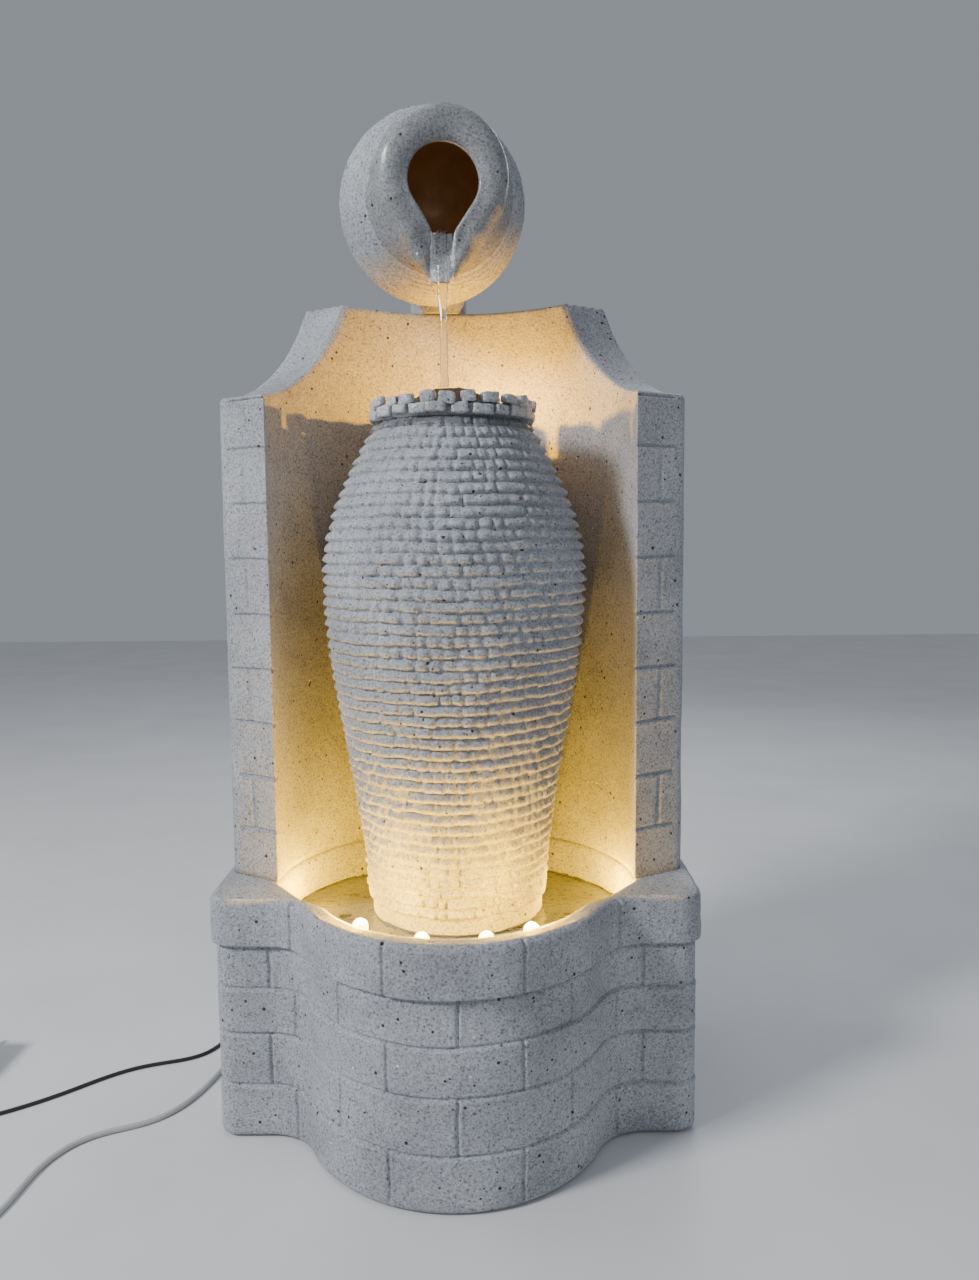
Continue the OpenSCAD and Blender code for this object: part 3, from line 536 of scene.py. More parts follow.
def brick_relief(run, z, length):
    """How far the brickwork stands out at a distance along the outline and a height."""
    wobble = 0.9 * MM * value_noise(xyz(run, 0, 7), 38 * MM, 11)
    relief = np.zeros_like(z)
    for course in COURSES[:3]:
        off = z - course - wobble
        depth = MORTAR_DEPTH * (1 + 0.35 * value_noise(xyz(run, z, 0), 12 * MM, 12))
        relief += groove(off, depth, MORTAR_WIDTH, 0.45 * MM)
    edge = z - COURSES[3] - 0.6 * wobble
    ragged = 0.5 * MM * value_noise(xyz(run, z, 3), 7 * MM, 13)
    relief += (LIP + ragged) * smoothstep(-0.7 * MM, 1.3 * MM, edge)
    relief -= 1.3 * MM * dip(edge + 1.4 * MM, 1.2 * MM)
    bounds = [0, *COURSES, RIM_Z + MM]
    for row in range(5):
        inside = smoothstep(bounds[row] - MM, bounds[row] + MM, z) * smoothstep(
            bounds[row + 1] + MM, bounds[row + 1] - MM, z)
        joints = joint_places(row, length)
        sway = 0.8 * MM * value_noise(xyz(z, run, row), 16 * MM, 14)
        for joint in joints:
            away = nearest_way(run - joint - sway, length)
            relief -= JOINT_DEPTH * dip(away, JOINT_WIDTH) * inside
            relief += 0.3 * MM * dip(away - 2.4 * MM, 1.2 * MM) * inside
        brick = np.searchsorted(joints, run.ravel() % length).reshape(run.shape) % len(joints)
        relief += inside * 0.45 * MM * (2 * lattice(brick, row, 0, 15) - 1)
    # No relief across the flat back
    from_back = length / 2 - np.abs(nearest_way(run, length))
    return relief * smoothstep(HALF_W - 3 * MM, HALF_W + 12 * MM, from_back)


def make_basin():
    outline = mirrored_loop(basin_half_outline())
    _, length = along(outline, step=0.01)
    fine = np.unique(np.concatenate([joint_places(row, length) for row in (0, 1)]))
    places = stations(0, length, 1.9 * MM, fine)[:-1]
    loop, _ = along(outline, places)
    normal = outward(loop)
    centre = np.array([0, NICHE_Y])
    rays = np.unwrap(np.arctan2(loop[:, 1] - centre[1], loop[:, 0]))
    count = len(loop)

    def ring(points, z):
        return xyz(points[:, 0], points[:, 1], z)

    def inner(outline_half, z):
        return ring(on_rays(mirrored_loop(outline_half), centre, rays), z)

    low = BASIN_LOW[2] + FOOT_ROUND
    high = RIM_Z - RIM_ROUND
    levels = stations(low, high, 2.2 * MM, COURSES, 0.7 * MM, 3.5 * MM)
    rows = []
    # Outside: rounded foot, brickwork and rounded rim
    for turn in np.radians([0, 30, 60]):
        inset = FOOT_ROUND * (1 - math.sin(turn))
        rows.append(ring(loop - normal * inset, low - FOOT_ROUND * math.cos(turn)))
    for z in levels:
        relief = brick_relief(places, np.full(count, z), length)
        rows.append(ring(loop + normal * relief[:, None], z))
    top_relief = brick_relief(places, np.full(count, high), length)
    top_outer = loop + normal * top_relief[:, None]
    top_inner = inner(opening_half_outline(), RIM_Z)[:, :2]
    across = top_inner - top_outer
    width = np.linalg.norm(across, axis=1, keepdims=True)
    across /= width
    joints = joint_places(4, length)
    notch = 0.9 * MM * sum(dip(nearest_way(places - joint, length), JOINT_WIDTH) for joint in joints)
    for turn in np.radians([25, 50, 75, 90]):
        inset = RIM_ROUND * (1 - math.cos(turn))
        level = high + RIM_ROUND * math.sin(turn) - notch * (turn < 1.4)
        rows.append(ring(top_outer + across * inset, level))
    for share in np.linspace(0.12, 0.88, 9):
        rows.append(ring(top_outer + across * (RIM_ROUND + (width - 2 * RIM_ROUND) * share), RIM_Z))
    for turn in np.radians([90, 65, 40, 15]):
        inset = RIM_ROUND * (1 - math.cos(turn))
        rows.append(ring(top_inner - across * inset, high + RIM_ROUND * math.sin(turn)))
    # Inside: pool wall, ledge under the deck, reservoir and floor
    for z in np.linspace(RIM_Z - 6 * MM, DECK_LOW[2], 14):
        rows.append(inner(opening_half_outline(), z))
    for z in (DECK_LOW[2], LEDGE_LOW):
        rows.append(inner(opening_half_outline(-LEDGE_WIDTH), z))
    for z in np.linspace(LEDGE_LOW, FLOOR_Z, 8):
        rows.append(inner(basin_half_outline(-WALL), z))
    verts = np.concatenate(rows + [[[0, NICHE_Y, FLOOR_Z], [0, NICHE_Y, BASIN_LOW[2]]]])
    total = len(rows) * count
    faces = sheet_faces(len(rows), count).tolist()
    faces += fan_faces(total - count, count, total)
    faces += [face[::-1] for face in fan_faces(0, count, total + 1)]
    basin = tidy_object("basin_wall", verts, faces, STONE)
    side = BASIN_HIGH[0]
    displace(basin, lambda p: cast_surface(p) * smoothstep(BACK_Y, BACK_Y - 4 * MM, p[:, 1])
             * smoothstep(BASIN_LOW[2], 6 * MM, p[:, 2]) * smoothstep(side, side - MM, abs(p[:, 0])))
    return basin


def cut(piece, cutters):
    """Takes boxes and round bores out of a piece."""
    for tool in cutters:
        tidy_mesh(tool)
        modifier = piece.modifiers.new("hole", "BOOLEAN")
        modifier.operation = "DIFFERENCE"
        modifier.solver = "EXACT"
        modifier.object = tool
    depsgraph = bpy.context.evaluated_depsgraph_get()
    result = bpy.data.meshes.new_from_object(piece.evaluated_get(depsgraph))
    piece.modifiers.clear()
    piece.data = result
    for tool in cutters:
        bpy.data.objects.remove(tool)


def box_cutter(low, high):
    x, y, z = zip(low, high)
    verts = [(x[i], y[j], z[k]) for i in (0, 1) for j in (0, 1) for k in (0, 1)]
    faces = [(0, 1, 3, 2), (4, 6, 7, 5), (0, 4, 5, 1), (2, 3, 7, 6), (0, 2, 6, 4), (1, 5, 7, 3)]
    return mesh_object("cutter", verts, faces, None, False)


def bore_cutter(x, z, radius, low_y, high_y, sides=48):
    turn = np.linspace(0, 2 * np.pi, sides, endpoint=False)
    rings = [xyz(x + radius * np.cos(turn), y, z + radius * np.sin(turn)) for y in (low_y, high_y)]
    faces = sheet_faces(2, sides).tolist() + [list(range(sides))[::-1], list(range(sides, 2 * sides))]
    return mesh_object("cutter", np.concatenate(rings), faces, None, False)


def rear_cutters():
    """The hatch's seat and opening, the drain's bore and the two lead holes in the back wall."""
    low, high = low_high("rear_hatch")
    inside = BACK_Y - 30 * MM
    outside = BACK_Y + 10 * MM
    cutters = [
        box_cutter((low[0] - grow, start, low[2] - grow), (high[0] + grow, outside, high[2] + grow))
        for grow, start in ((0.3 * MM, BACK_Y - 6 * MM), (-10 * MM, inside))]
    for node, radius, start in (
            ("drain_plug", 13.3 * MM, BACK_Y - 4.3 * MM),
            ("drain_plug", 8 * MM, inside),
            ("pump_strain_relief", 6 * MM, inside),
            ("led_strain_relief", 6 * MM, inside)):
        x, _, z = middle_of(node)
        cutters.append(bore_cutter(x, z, radius, start, outside))
    return cutters


# ---------------------------------------------------------------- alcove
def shoulder_height(x, y):
    """Height of the hollowed top at a place, and its slope along the hollow."""
    n = -np.abs(x) * math.sin(FACE_TURN) + (y - SCOOP_Y) * math.cos(FACE_TURN)
    reach = np.clip(n, 0, SCOOP_R * 0.98)
    height = np.minimum(ALCOVE_HIGH[2], SCOOP_Z - np.sqrt(SCOOP_R ** 2 - reach ** 2))
    slope = np.where(height < ALCOVE_HIGH[2] - MM / 10, reach / np.sqrt(SCOOP_R ** 2 - reach ** 2), 0)
    return height, slope


def face_depth(x, y):
    """Distance behind the front face of the nearer pillar."""
    return -(np.abs(x) - NICHE_R) * math.sin(FACE_TURN) + (y - NICHE_Y) * math.cos(FACE_TURN)


def outer_radius(turn):
    """Distance from the niche's axis to the round side or the flat back."""
    return np.minimum(SIDE_R, (ALCOVE_HIGH[1] - NICHE_Y) / np.maximum(np.sin(turn), 0.05))


def rounded(points, radius):
    """Rounds the edges between the alcove's faces."""
    x, y, z = points.T
    rel = np.stack([x, y - NICHE_Y], -1)
    reach = np.linalg.norm(rel, axis=1)
    radial = xyz(*(rel / reach[:, None]).T, 0)
    turn = np.arctan2(rel[:, 1], rel[:, 0])
    side = np.where(x > 0, 1.0, -1.0)
    face_out = xyz(side * math.sin(FACE_TURN), -math.cos(FACE_TURN), 0)
    height, slope = shoulder_height(x, y)
    top_out = np.array([0, 0, 1]) + slope[:, None] * face_out
    top_out /= np.linalg.norm(top_out, axis=1, keepdims=True)
    flat_back = outer_radius(turn) < SIDE_R - MM / 10
    outer_out = np.where(flat_back[:, None], [[0, 1, 0]], radial)
    to_outer = np.where(flat_back, ALCOVE_HIGH[1] - y, SIDE_R - reach)
    to_top = (height - z) / np.sqrt(1 + slope ** 2)
    push = np.zeros_like(points)
    for near, out in ((reach - NICHE_R, -radial), (to_outer, outer_out),
                      (face_depth(x, y), face_out), (to_top, top_out)):
        push += np.maximum(0, radius - near)[:, None] * out
    size = np.maximum(np.linalg.norm(push, axis=1), radius)
    return points - push * (1 - radius / size)[:, None]


def pillar_relief(points):
    """Mortar joints cut into the pillars' fronts, from the inner edge to just short of the outer one."""
    x, y, z = points.T
    run = (np.abs(x) - NICHE_R) * math.cos(FACE_TURN) + (y - NICHE_Y) * math.sin(FACE_TURN)
    on_face = smoothstep(1.5 * MM, 0.4 * MM, face_depth(x, y)) * smoothstep(-6 * MM, -1 * MM, run)
    in_niche = smoothstep(3 * MM, 0, np.hypot(x, y - NICHE_Y) - NICHE_R)
    niche_side = smoothstep(7 * MM, 2 * MM, face_depth(x, y)) * in_niche
    wander = value_noise(xyz(run, np.sign(x), 2), 17 * MM, 21)
    relief = np.zeros_like(x)
    for i, level in enumerate(PILLAR_JOINTS):
        stop = (36 + 4 * lattice(i, 3, 0, 5)) * MM
        lean = (lattice(i, 1, 0, 8) - 0.35) * 0.05
        off = z - level - MM - lean * run - 0.8 * MM * wander
        reach = smoothstep(stop + 2 * MM, stop - 2 * MM, run)
        relief += groove(off, 2.1 * MM, 1.05 * MM, 0.5 * MM) * reach
    for level in PILLAR_JOINTS[:8:2]:
        within = smoothstep(level, level + 2 * MM, z) * smoothstep(level + 42 * MM, level + 40 * MM, z)
        across = run - PILLAR_MIDDLE - 0.05 * (z - level) - 0.5 * MM * wander
        relief -= 1.9 * MM * dip(across, 1.0 * MM) * within
    return relief * np.maximum(on_face, niche_side)


def make_alcove():
    """The niche shell, from the pillar on the right (0) round the back to the one on the left (1)."""
    first = ALCOVE_LOW[2]
    # Columns crowd towards both pillars, and points towards both edges of the wall, for the rounding
    spread = np.concatenate([np.linspace(0, 8, 6), np.linspace(8, 172, 92)[1:], np.linspace(172, 180, 6)[1:]])
    back_turn = math.asin((ALCOVE_HIGH[1] - NICHE_Y) / SIDE_R)
    corner = (back_turn - CORNER_END) / (np.pi - 2 * CORNER_END)
    share = np.sort(np.append(spread / 180, [corner, 1 - corner]))
    edge = np.array([0, 1, 2, 3, 4.5, 6.5]) / 47
    across = np.concatenate([edge, np.linspace(edge[-1], 1 - edge[-1], 22)[1:-1], 1 - edge[::-1]])

    def place(t, u):
        inner_turn = t * np.pi
        outer_turn = FACE_END + t * (np.pi - 2 * FACE_END)
        radius = outer_radius(outer_turn)
        inner = np.stack([NICHE_R * np.cos(inner_turn), NICHE_Y + NICHE_R * np.sin(inner_turn)], -1)
        outer = np.stack([radius * np.cos(outer_turn), NICHE_Y + radius * np.sin(outer_turn)], -1)
        return inner + (outer - inner) * np.asarray(u)[..., None]

    loop = np.concatenate([
        place(np.zeros(len(across)), across),
        place(share, np.ones(len(share)))[1:],
        place(np.ones(len(across)), across)[::-1][1:],
        place(share, np.zeros(len(share)))[::-1][1:-1],
    ])
    fine = [joint + 1.2 * MM for joint in PILLAR_JOINTS]
    levels = stations(first, ALCOVE_HIGH[2], 5 * MM, fine, 0.62 * MM, 4 * MM)
    height, _ = shoulder_height(loop[:, 0], loop[:, 1])
    stack = [np.minimum(z, height) for z in levels] + [height - drop * MM for drop in (3.2, 2.2, 1.2, 0.5, 0)]
    rows = [np.column_stack([loop, level]) for level in np.sort(stack, axis=0)]
    count = len(loop)
    verts = np.concatenate(rows)
    faces = sheet_faces(len(rows), count).tolist()
    grid_t, grid_u = np.meshgrid(share, across, indexing="ij")
    top = place(grid_t.ravel(), grid_u.ravel())
    top_z, _ = shoulder_height(top[:, 0], top[:, 1])
    for z, flip in ((top_z, False), (np.full(len(top), first), True)):
        cap = sheet_faces(len(share), len(across), False, len(verts))
        faces += (cap[:, ::-1] if flip else cap).tolist()
        verts = np.concatenate([verts, np.column_stack([top, z])])
    points = rounded(verts, EDGE_ROUND)
    points[:, 2] = np.maximum(points[:, 2], first)
    alcove = tidy_object("alcove_wall", points, faces, STONE)
    displace(alcove, lambda p: pillar_relief(p) + cast_surface(p, 0.5 * MM, 0.05 * MM)
             * smoothstep(first, first + 6 * MM, p[:, 2]))
    return alcove


# ---------------------------------------------------------------- vase
def vase_radius(z):
    low = BELLY_R - (BELLY_R - FOOT_R) * (1 - np.cos(np.pi * (BELLY_Z - z) / (BELLY_Z - VASE_LOW[2]))) / 2
    high = BELLY_R - (BELLY_R - NECK_R) * (1 - np.cos(np.pi / 2 * (z - BELLY_Z) / (TILE_LOW - BELLY_Z)))
    return np.where(z < BELLY_Z, low, high)


def course_relief(turn, z):
    """Small uneven courses of short worn bricks, each course hanging over the groove below it."""
    ring = xyz(np.cos(turn), np.sin(turn), 0) * BELLY_R
    wall = xyz(ring[..., 0], ring[..., 1], z)
    sway = 1.1 * MM * value_noise(ring + [0, 0, 3], 60 * MM, 31) + 0.45 * MM * value_noise(wall, 11 * MM, 32)
    level = (z + sway - COURSE_LOW) / COURSE_PITCH
    row = np.floor(level).astype(int)
    shift = lattice(row, 3, 0, 33)
    spot = turn / (2 * np.pi) * VASE_BRICKS + shift * 5 + 0.35 * value_noise(
        xyz(ring[..., 0], ring[..., 1], row * COURSE_PITCH), 9 * MM, 34)
    brick = np.floor(spot).astype(int) % VASE_BRICKS
    joint = np.round(spot).astype(int) % VASE_BRICKS
    from_joint = np.abs(spot - np.round(spot)) * (2 * np.pi * BELLY_R / VASE_BRICKS)
    ragged = 0.12 * lattice(brick, row, 5, 40) + 0.05 * value_noise(wall, 3.5 * MM, 41)
    part = level - row - ragged
    band = smoothstep(0.0, 0.26, part) * (1 - 0.62 * smoothstep(0.38, 1.0, part))
    nick = dip(from_joint, 1.25 * MM) * smoothstep(0.1, 0.55, lattice(joint, row, 0, 35))
    bulge = lattice(brick, row, 0, 36)
    chips = value_noise(wall, 4.2 * MM, 37)
    worn = smoothstep(0, 1, 0.5 + 0.5 * value_noise(wall, 45 * MM, 38))
    relief = COURSE_DEPTH * band * (0.8 + 0.35 * bulge - 0.95 * nick) + 0.45 * MM * chips * band - 0.7 * MM
    fade = smoothstep(COURSE_LOW - 2 * MM, COURSE_LOW + 3 * MM, z)
    fade *= smoothstep(TILE_LOW + 0.5 * MM, TILE_LOW - 3 * MM, z)
    return relief * (0.8 + 0.3 * worn) * fade


def make_vase():
    z_out = np.concatenate([
        np.linspace(VASE_LOW[2] + 2 * MM, COURSE_LOW, 8),
        np.arange(COURSE_LOW + 1.2 * MM, TILE_LOW, 1.15 * MM),
    ])
    profile = [(FOOT_R - 2 * MM, VASE_LOW[2])]
    profile += [(r, z) for r, z in zip(vase_radius(z_out), z_out)]
    neck = NECK_BAND_R
    rim = VASE_HIGH[2] - 8.5 * MM
    rim_top = rim + 1.5 * MM
    inside = NECK_R - VASE_WALL
    profile += [
        (neck, TILE_LOW), (neck, rim), (neck - MM, rim_top), (inside + 1.5 * MM, rim_top), (inside, rim)]
    z_in = np.linspace(TILE_LOW, VASE_LOW[2] + 8 * MM, 40)
    profile += [(r - VASE_WALL, z) for r, z in zip(vase_radius(z_in), z_in)]
    grid_r, grid_z, grid_t = turned_grid(profile, VASE_COLUMNS)
    outer = slice(0, 1 + len(z_out))
    foot = smoothstep(COURSE_LOW, COURSE_LOW - 10 * MM, grid_z[outer]) * 1.2 * MM * value_noise(
        xyz(np.cos(grid_t[outer]), np.sin(grid_t[outer]), grid_z[outer] * 8), 0.35, 39)
    grid_r[outer] += course_relief(grid_t[outer], grid_z[outer]) + foot
    verts = xyz(grid_r * np.cos(grid_t), VASE_Y + grid_r * np.sin(grid_t), grid_z).reshape(-1, 3)
    total = len(verts)
    faces = sheet_faces(len(profile), VASE_COLUMNS).tolist()
    faces += fan_faces(total - VASE_COLUMNS, VASE_COLUMNS, total)
    verts = np.concatenate([verts, [[0, VASE_Y, z_in[-1]]]])
    vase = tidy_object("vase_body", verts, faces, STONE)
    vase.data.materials.append(WET_STONE)
    for polygon in vase.data.polygons:
        centre = polygon.center
        inner = math.hypot(centre.x, centre.y - VASE_Y) < inside + MM
        if inner or centre.z > WET_FROM:
            polygon.material_index = 1
    return vase


def soft_block(width, depth, height, edge, steps=4):
    """Corners, faces and edges of a small block with well rounded edges, centred on the origin."""
    block = bmesh.new()
    bmesh.ops.create_cube(block, size=1)
    bmesh.ops.subdivide_edges(block, edges=block.edges, cuts=steps, use_grid_fill=True)
    half = np.array([width, depth, height]) / 2
    points = np.array([v.co for v in block.verts]) * 2 * half
    core = np.clip(points, -(half - edge), half - edge)
    off = points - core
    length = np.linalg.norm(off, axis=1, keepdims=True)
    points = core + off * np.where(length > 0, edge / np.maximum(length, 1e-9), 0)
    faces = [[v.index for v in face.verts] for face in block.faces]
    block.free()
    return points, faces


def make_rim_tiles():
    """Two rings of small worn tiles round the vase's mouth, with mortar gaps between them."""
    rows = (
        (VASE_HIGH[2] - 4.2 * MM, 12.0 * MM, 7.6 * MM, 6.5 * MM),
        (TILE_LOW + 3.4 * MM, 13.8 * MM, 7.0 * MM, 6.0 * MM),
    )
    verts = []
    faces = []
    for row, (z, width, height, depth) in enumerate(rows):
        for i in range(TILES):
            pick = [lattice(i, row, k, 41) - 0.5 for k in range(6)]
            size = (width + pick[0] * 4.4 * MM, depth, height + pick[1] * 2.6 * MM)
            points, block_faces = soft_block(*size, 1.5 * MM)
            rough = [value_noise(points + [i, row, k], 3.6 * MM, 42) for k in range(3)]
            points += 0.75 * MM * np.stack(rough, -1)
            turn = (i + 0.5 * row + 0.26 * pick[2]) * 2 * np.pi / TILES
            lean = Matrix.Rotation(turn - np.pi / 2, 3, "Z") @ Matrix.Rotation(0.34 * pick[3], 3, "Y")
            points = points @ np.array(lean).T
            reach = TILE_RING - depth / 2 + pick[4] * 1.8 * MM
            points += [reach * math.cos(turn), VASE_Y + reach * math.sin(turn), z + pick[5] * 1.6 * MM]
            faces += [[v + len(verts) for v in face] for face in block_faces]
            verts += points.tolist()
    return tidy_object("rim_tiles", verts, faces, RIM_STONE)


# ---------------------------------------------------------------- pot
def mouth_turn():
    return np.array(Matrix.Rotation(POT_YAW, 3, "Z") @ Matrix.Rotation(POT_TILT, 3, "X"))


def to_mouth(points):
    """Coordinates in the mouth's frame: x across, y into the pot, z up."""
    return (points - MOUTH_C) @ mouth_turn()


def from_mouth(points):
    return MOUTH_C + np.asarray(points) @ mouth_turn().T


def smooth_min(a, b, blend):
    h = np.clip(0.5 + 0.5 * (b - a) / blend, 0, 1)
    return b + (a - b) * h - blend * h * (1 - h)


def smooth_max(a, b, blend):
    return -smooth_min(-a, -b, blend)


def tear_distance(u, v, ring, tip, drop):
    """Distance from a tear: a circle about the origin drawn out to a small one below it."""
    u = np.abs(u)
    down = -v
    lean = (ring - tip) / drop
    rise = np.sqrt(1 - lean ** 2)
    k = -u * lean + down * rise
    side = u * rise + down * lean - ring
    top = np.hypot(u, down) - ring
    bottom = np.hypot(u, down - drop) - tip
    return np.where(k < 0, top, np.where(k > rise * drop, bottom, side))


def cone_distance(p, start, end):
    """Distance from a rod between two (across, up, radius) points, mirrored about the middle."""
    a, b = np.array(start[:2]) * MM, np.array(end[:2]) * MM
    leg = b - a
    share = np.clip(((p[:, 0] - a[0]) * leg[0] + (p[:, 2] - a[1]) * leg[1]) / leg.dot(leg), 0, 1)
    off = xyz(p[:, 0] - a[0] - share * leg[0], p[:, 1], p[:, 2] - a[1] - share * leg[1])
    return np.linalg.norm(off, axis=1) - (start[2] + (end[2] - start[2]) * share) * MM


def lip_distance(q):
    """Distance from the rolled lip: a ring, broad at the top, with two legs that taper to the spout."""
    p = q * np.where(q[:, :1] < 0, [-1, 1, 1], 1)
    turn = np.arctan2(p[:, 2], p[:, 0])
    high = smoothstep(0, 1, np.sin(turn))
    across = (np.hypot(p[:, 0], p[:, 2]) - LIP_RING + 1.5 * MM * high) / (1 + 0.18 * high)
    on_ring = np.hypot(across, p[:, 1]) - LIP_THICK
    distance = np.where(turn > LIP_LEG_TURN, on_ring, 1.0)
    for start, end in zip(LIP_LEGS, LIP_LEGS[1:]):
        distance = smooth_min(distance, cone_distance(p, start, end), 2.5 * MM)
    return distance


def trough_height(depth):
    """Height of the spout's floor, which climbs from the tip to the sill of the mouth."""
    climb = np.clip((depth + SPOUT_REACH) / (SILL_DEPTH + SPOUT_REACH), 0, 1)
    return TROUGH_LOW + (SILL_HEIGHT - TROUGH_LOW) * climb ** 0.9


def pot_distance(points):
    """Distance from the pot: a ribbed ball, neck, lip and spout, less its room, throat and trough."""
    q = to_mouth(points)
    u, depth, v = q.T
    ball = np.linalg.norm(points - POT_C, axis=1)
    floor = trough_height(depth)
    ribs = RIB_HEIGHT * np.cos(depth * 2 * np.pi / RIB_PITCH) * smoothstep(6 * MM, 14 * MM, depth)
    body = ball - POT_R - ribs * smoothstep(POT_R - 4 * MM, POT_R, ball) + RIB_HEIGHT
    neck = smooth_max(tear_distance(u, v, *NECK_TEAR), np.abs(depth - 22 * MM) - 23 * MM, 3 * MM)
    solid = smooth_min(body, neck, 2.5 * MM)
    solid = smooth_min(solid, lip_distance(q), 2.5 * MM)
    web = smooth_max(np.abs(u) - 6 * MM - 0.25 * (v - TROUGH_LOW), v - floor, 1.5 * MM)
    web = smooth_max(web, np.abs(depth - 7 * MM) - 7 * MM - SPOUT_REACH, 1.5 * MM)
    web = smooth_max(web, TROUGH_LOW - 3 * MM - v, 1.5 * MM)
    solid = smooth_min(solid, web, 2 * MM)
    throat = smooth_max(tear_distance(u, v + 2 * MM, *THROAT_TEAR), depth - THROAT_DEPTH, 2 * MM)
    hollow = ball - (POT_R - POT_WALL)
    room = smooth_max(smooth_min(throat, hollow, 4 * MM), floor - v, 2 * MM)
    half_width = 4.4 * MM + 3.6 * MM * smoothstep(TROUGH_LOW, SILL_HEIGHT, v)
    trough = smooth_max(np.abs(u) - half_width, floor + 0.03 * u ** 2 / MM - v, 2.5 * MM)
    trough = smooth_max(trough, v + 18 * MM, 2 * MM)
    trough = smooth_max(trough, depth - THROAT_DEPTH, 2 * MM)
    return smooth_max(solid, -smooth_min(room, trough, 2 * MM), 2.5 * MM)


def surface_net(distance, low, high, cell):
    """Closed quad mesh of the place where distance is zero."""
    axes = [np.arange(low[k], high[k] + cell, cell) for k in range(3)]
    grid = np.stack(np.meshgrid(*axes, indexing="ij"), -1)
    shape = grid.shape[:3]
    value = distance(grid.reshape(-1, 3)).reshape(shape)
    inside = value < 0
    total = np.zeros(shape + (3,))
    count = np.zeros(shape)
    quads = []
    for axis in range(3):
        head = [slice(None)] * 3
        tail = [slice(None)] * 3
        head[axis] = slice(None, -1)
        tail[axis] = slice(1, None)
        a, b = value[tuple(head)], value[tuple(tail)]
        crossing = np.argwhere(inside[tuple(head)] != inside[tuple(tail)])
        i = tuple(crossing.T)
        share = a[i] / (a[i] - b[i])
        place = grid[tuple(head)][i].copy()
        place[:, axis] += share * cell
        across = [k for k in range(3) if k != axis]
        corners = []
        for da, db in ((0, 0), (1, 0), (1, 1), (0, 1)):
            cube = crossing.copy()
            cube[:, across[0]] -= da
            cube[:, across[1]] -= db
            index = tuple(cube.T)
            np.add.at(total, index, place)
            np.add.at(count, index, 1)
            corners.append(np.ravel_multi_index(index, shape))
        quad = np.stack(corners, -1)
        flip = inside[tuple(head)][i] != (axis == 1)
        quads.append(np.where(flip[:, None], quad[:, ::-1], quad))
    used = np.flatnonzero(count)
    verts = total.reshape(-1, 3)[used] / count.reshape(-1, 1)[used]
    renumber = np.full(count.size, -1)
    renumber[used] = np.arange(len(used))
    return verts, renumber[np.concatenate(quads)]


def make_pot():
    verts, faces = surface_net(pot_distance, POT_LOW - 4 * MM, POT_HIGH + 4 * MM, POT_CELL)
    pot = tidy_object("pot_body", verts, faces, STONE)
    for material in (LIP_STONE, POT_INSIDE_PAINTED_SHADE, SPOUT_PAINTED_LIGHT_STONE):
        pot.data.materials.append(material)
    lip_slot, room_slot, spout_painted_light_slot = 1, 2, 3
    displace(pot, lambda p: cast_surface(p, 0.5 * MM, 0.0))
    for polygon in pot.data.polygons:
        centre = np.array(polygon.center)
        q = to_mouth(centre[None])[0]
        room = np.linalg.norm(centre - POT_C) < POT_R - POT_WALL + MM
        # The pot's inner room gets the dark brown of painted shade.
        if room and q[1] > SILL_DEPTH + 5 * MM:
            polygon.material_index = room_slot
        # The spout's trough gets the paler stone with painted light.
        elif abs(q[0]) < 9 * MM and TROUGH_LOW - MM < q[2] < SILL_HEIGHT + 2 * MM:
            polygon.material_index = spout_painted_light_slot
        elif q[1] < 9 * MM or room:
            polygon.material_index = lip_slot
    return pot


# ---------------------------------------------------------------- splash pad and water
def make_splash_pad():
    low, high = low_high("splash_pad")
    centre = (low + high) / 2
    count = 120
    base = high[0] - 0.8 * MM
    shoulder = base - 7 * MM
    brim = low[2] + 10 * MM
    profile = [(0.1 * MM, low[2]), (base, low[2])]
    profile += [(base, low[2] + z * MM) for z in np.linspace(1, 9, 8)]
    for share in np.linspace(0, 1, 34):
        reach = shoulder * (1 - share) + 0.1 * MM
        profile.append((reach, brim + (high[2] - brim) * (1 - (reach / shoulder) ** 2.2)))
    grid_r, grid_z, turn = turned_grid(profile, count)
    shift = -7 * MM * smoothstep(low[2] + 9 * MM, high[2], grid_z)
    verts = xyz(centre[0] + grid_r * np.cos(turn), centre[1] + shift + grid_r * np.sin(turn), grid_z)
    faces = sheet_faces(len(profile), count)
    pad = tidy_object("splash_pad_fibre", verts.reshape(-1, 3), faces, PAD_FIBRE, 0.3 * MM)
    displace(pad, lambda p: (
        1.1 * MM * value_noise(p, 6 * MM, 51) + 0.8 * MM * value_noise(p, 2.8 * MM, 52) - MM))
    return pad


def pool_ripple(p):
    """Rings that spread from the vase's foot, and small uneven waves."""
    away = np.hypot(p[..., 0], p[..., 1] - VASE_Y) - FOOT_R
    rings = 0.35 * MM * np.sin(away * 2 * np.pi / (9 * MM)) * np.exp(-np.maximum(away, 0) / (25 * MM))
    return rings + 0.4 * MM * value_noise(p, 14 * MM, 61) + 0.2 * MM * value_noise(p, 5 * MM, 62)


def make_pool():
    """Closed sheet of water on the deck, from the basin's opening in to the vase's foot."""
    rays = np.linspace(-np.pi, np.pi, 300, endpoint=False)
    centre = np.array([0, VASE_Y])
    outer = on_rays(mirrored_loop(opening_half_outline(-0.2 * MM)), centre, rays)
    inner = centre + (FOOT_R - 3 * MM) * np.stack([np.cos(rays), np.sin(rays)], -1)
    flat = outer + (inner - outer) * np.linspace(0, 1, 30)[:, None, None]
    upper = xyz(flat[..., 0], flat[..., 1], DECK_HIGH[2] + POOL_DEPTH)
    upper[..., 2] += pool_ripple(upper)
    lower = xyz(flat[::-1, :, 0], flat[::-1, :, 1], DECK_HIGH[2] + 0.15 * MM)
    grid = np.concatenate([upper, lower, upper[:1]])
    return tidy_object("pool_water", grid.reshape(-1, 3), sheet_faces(len(grid), len(rays)), WATER)


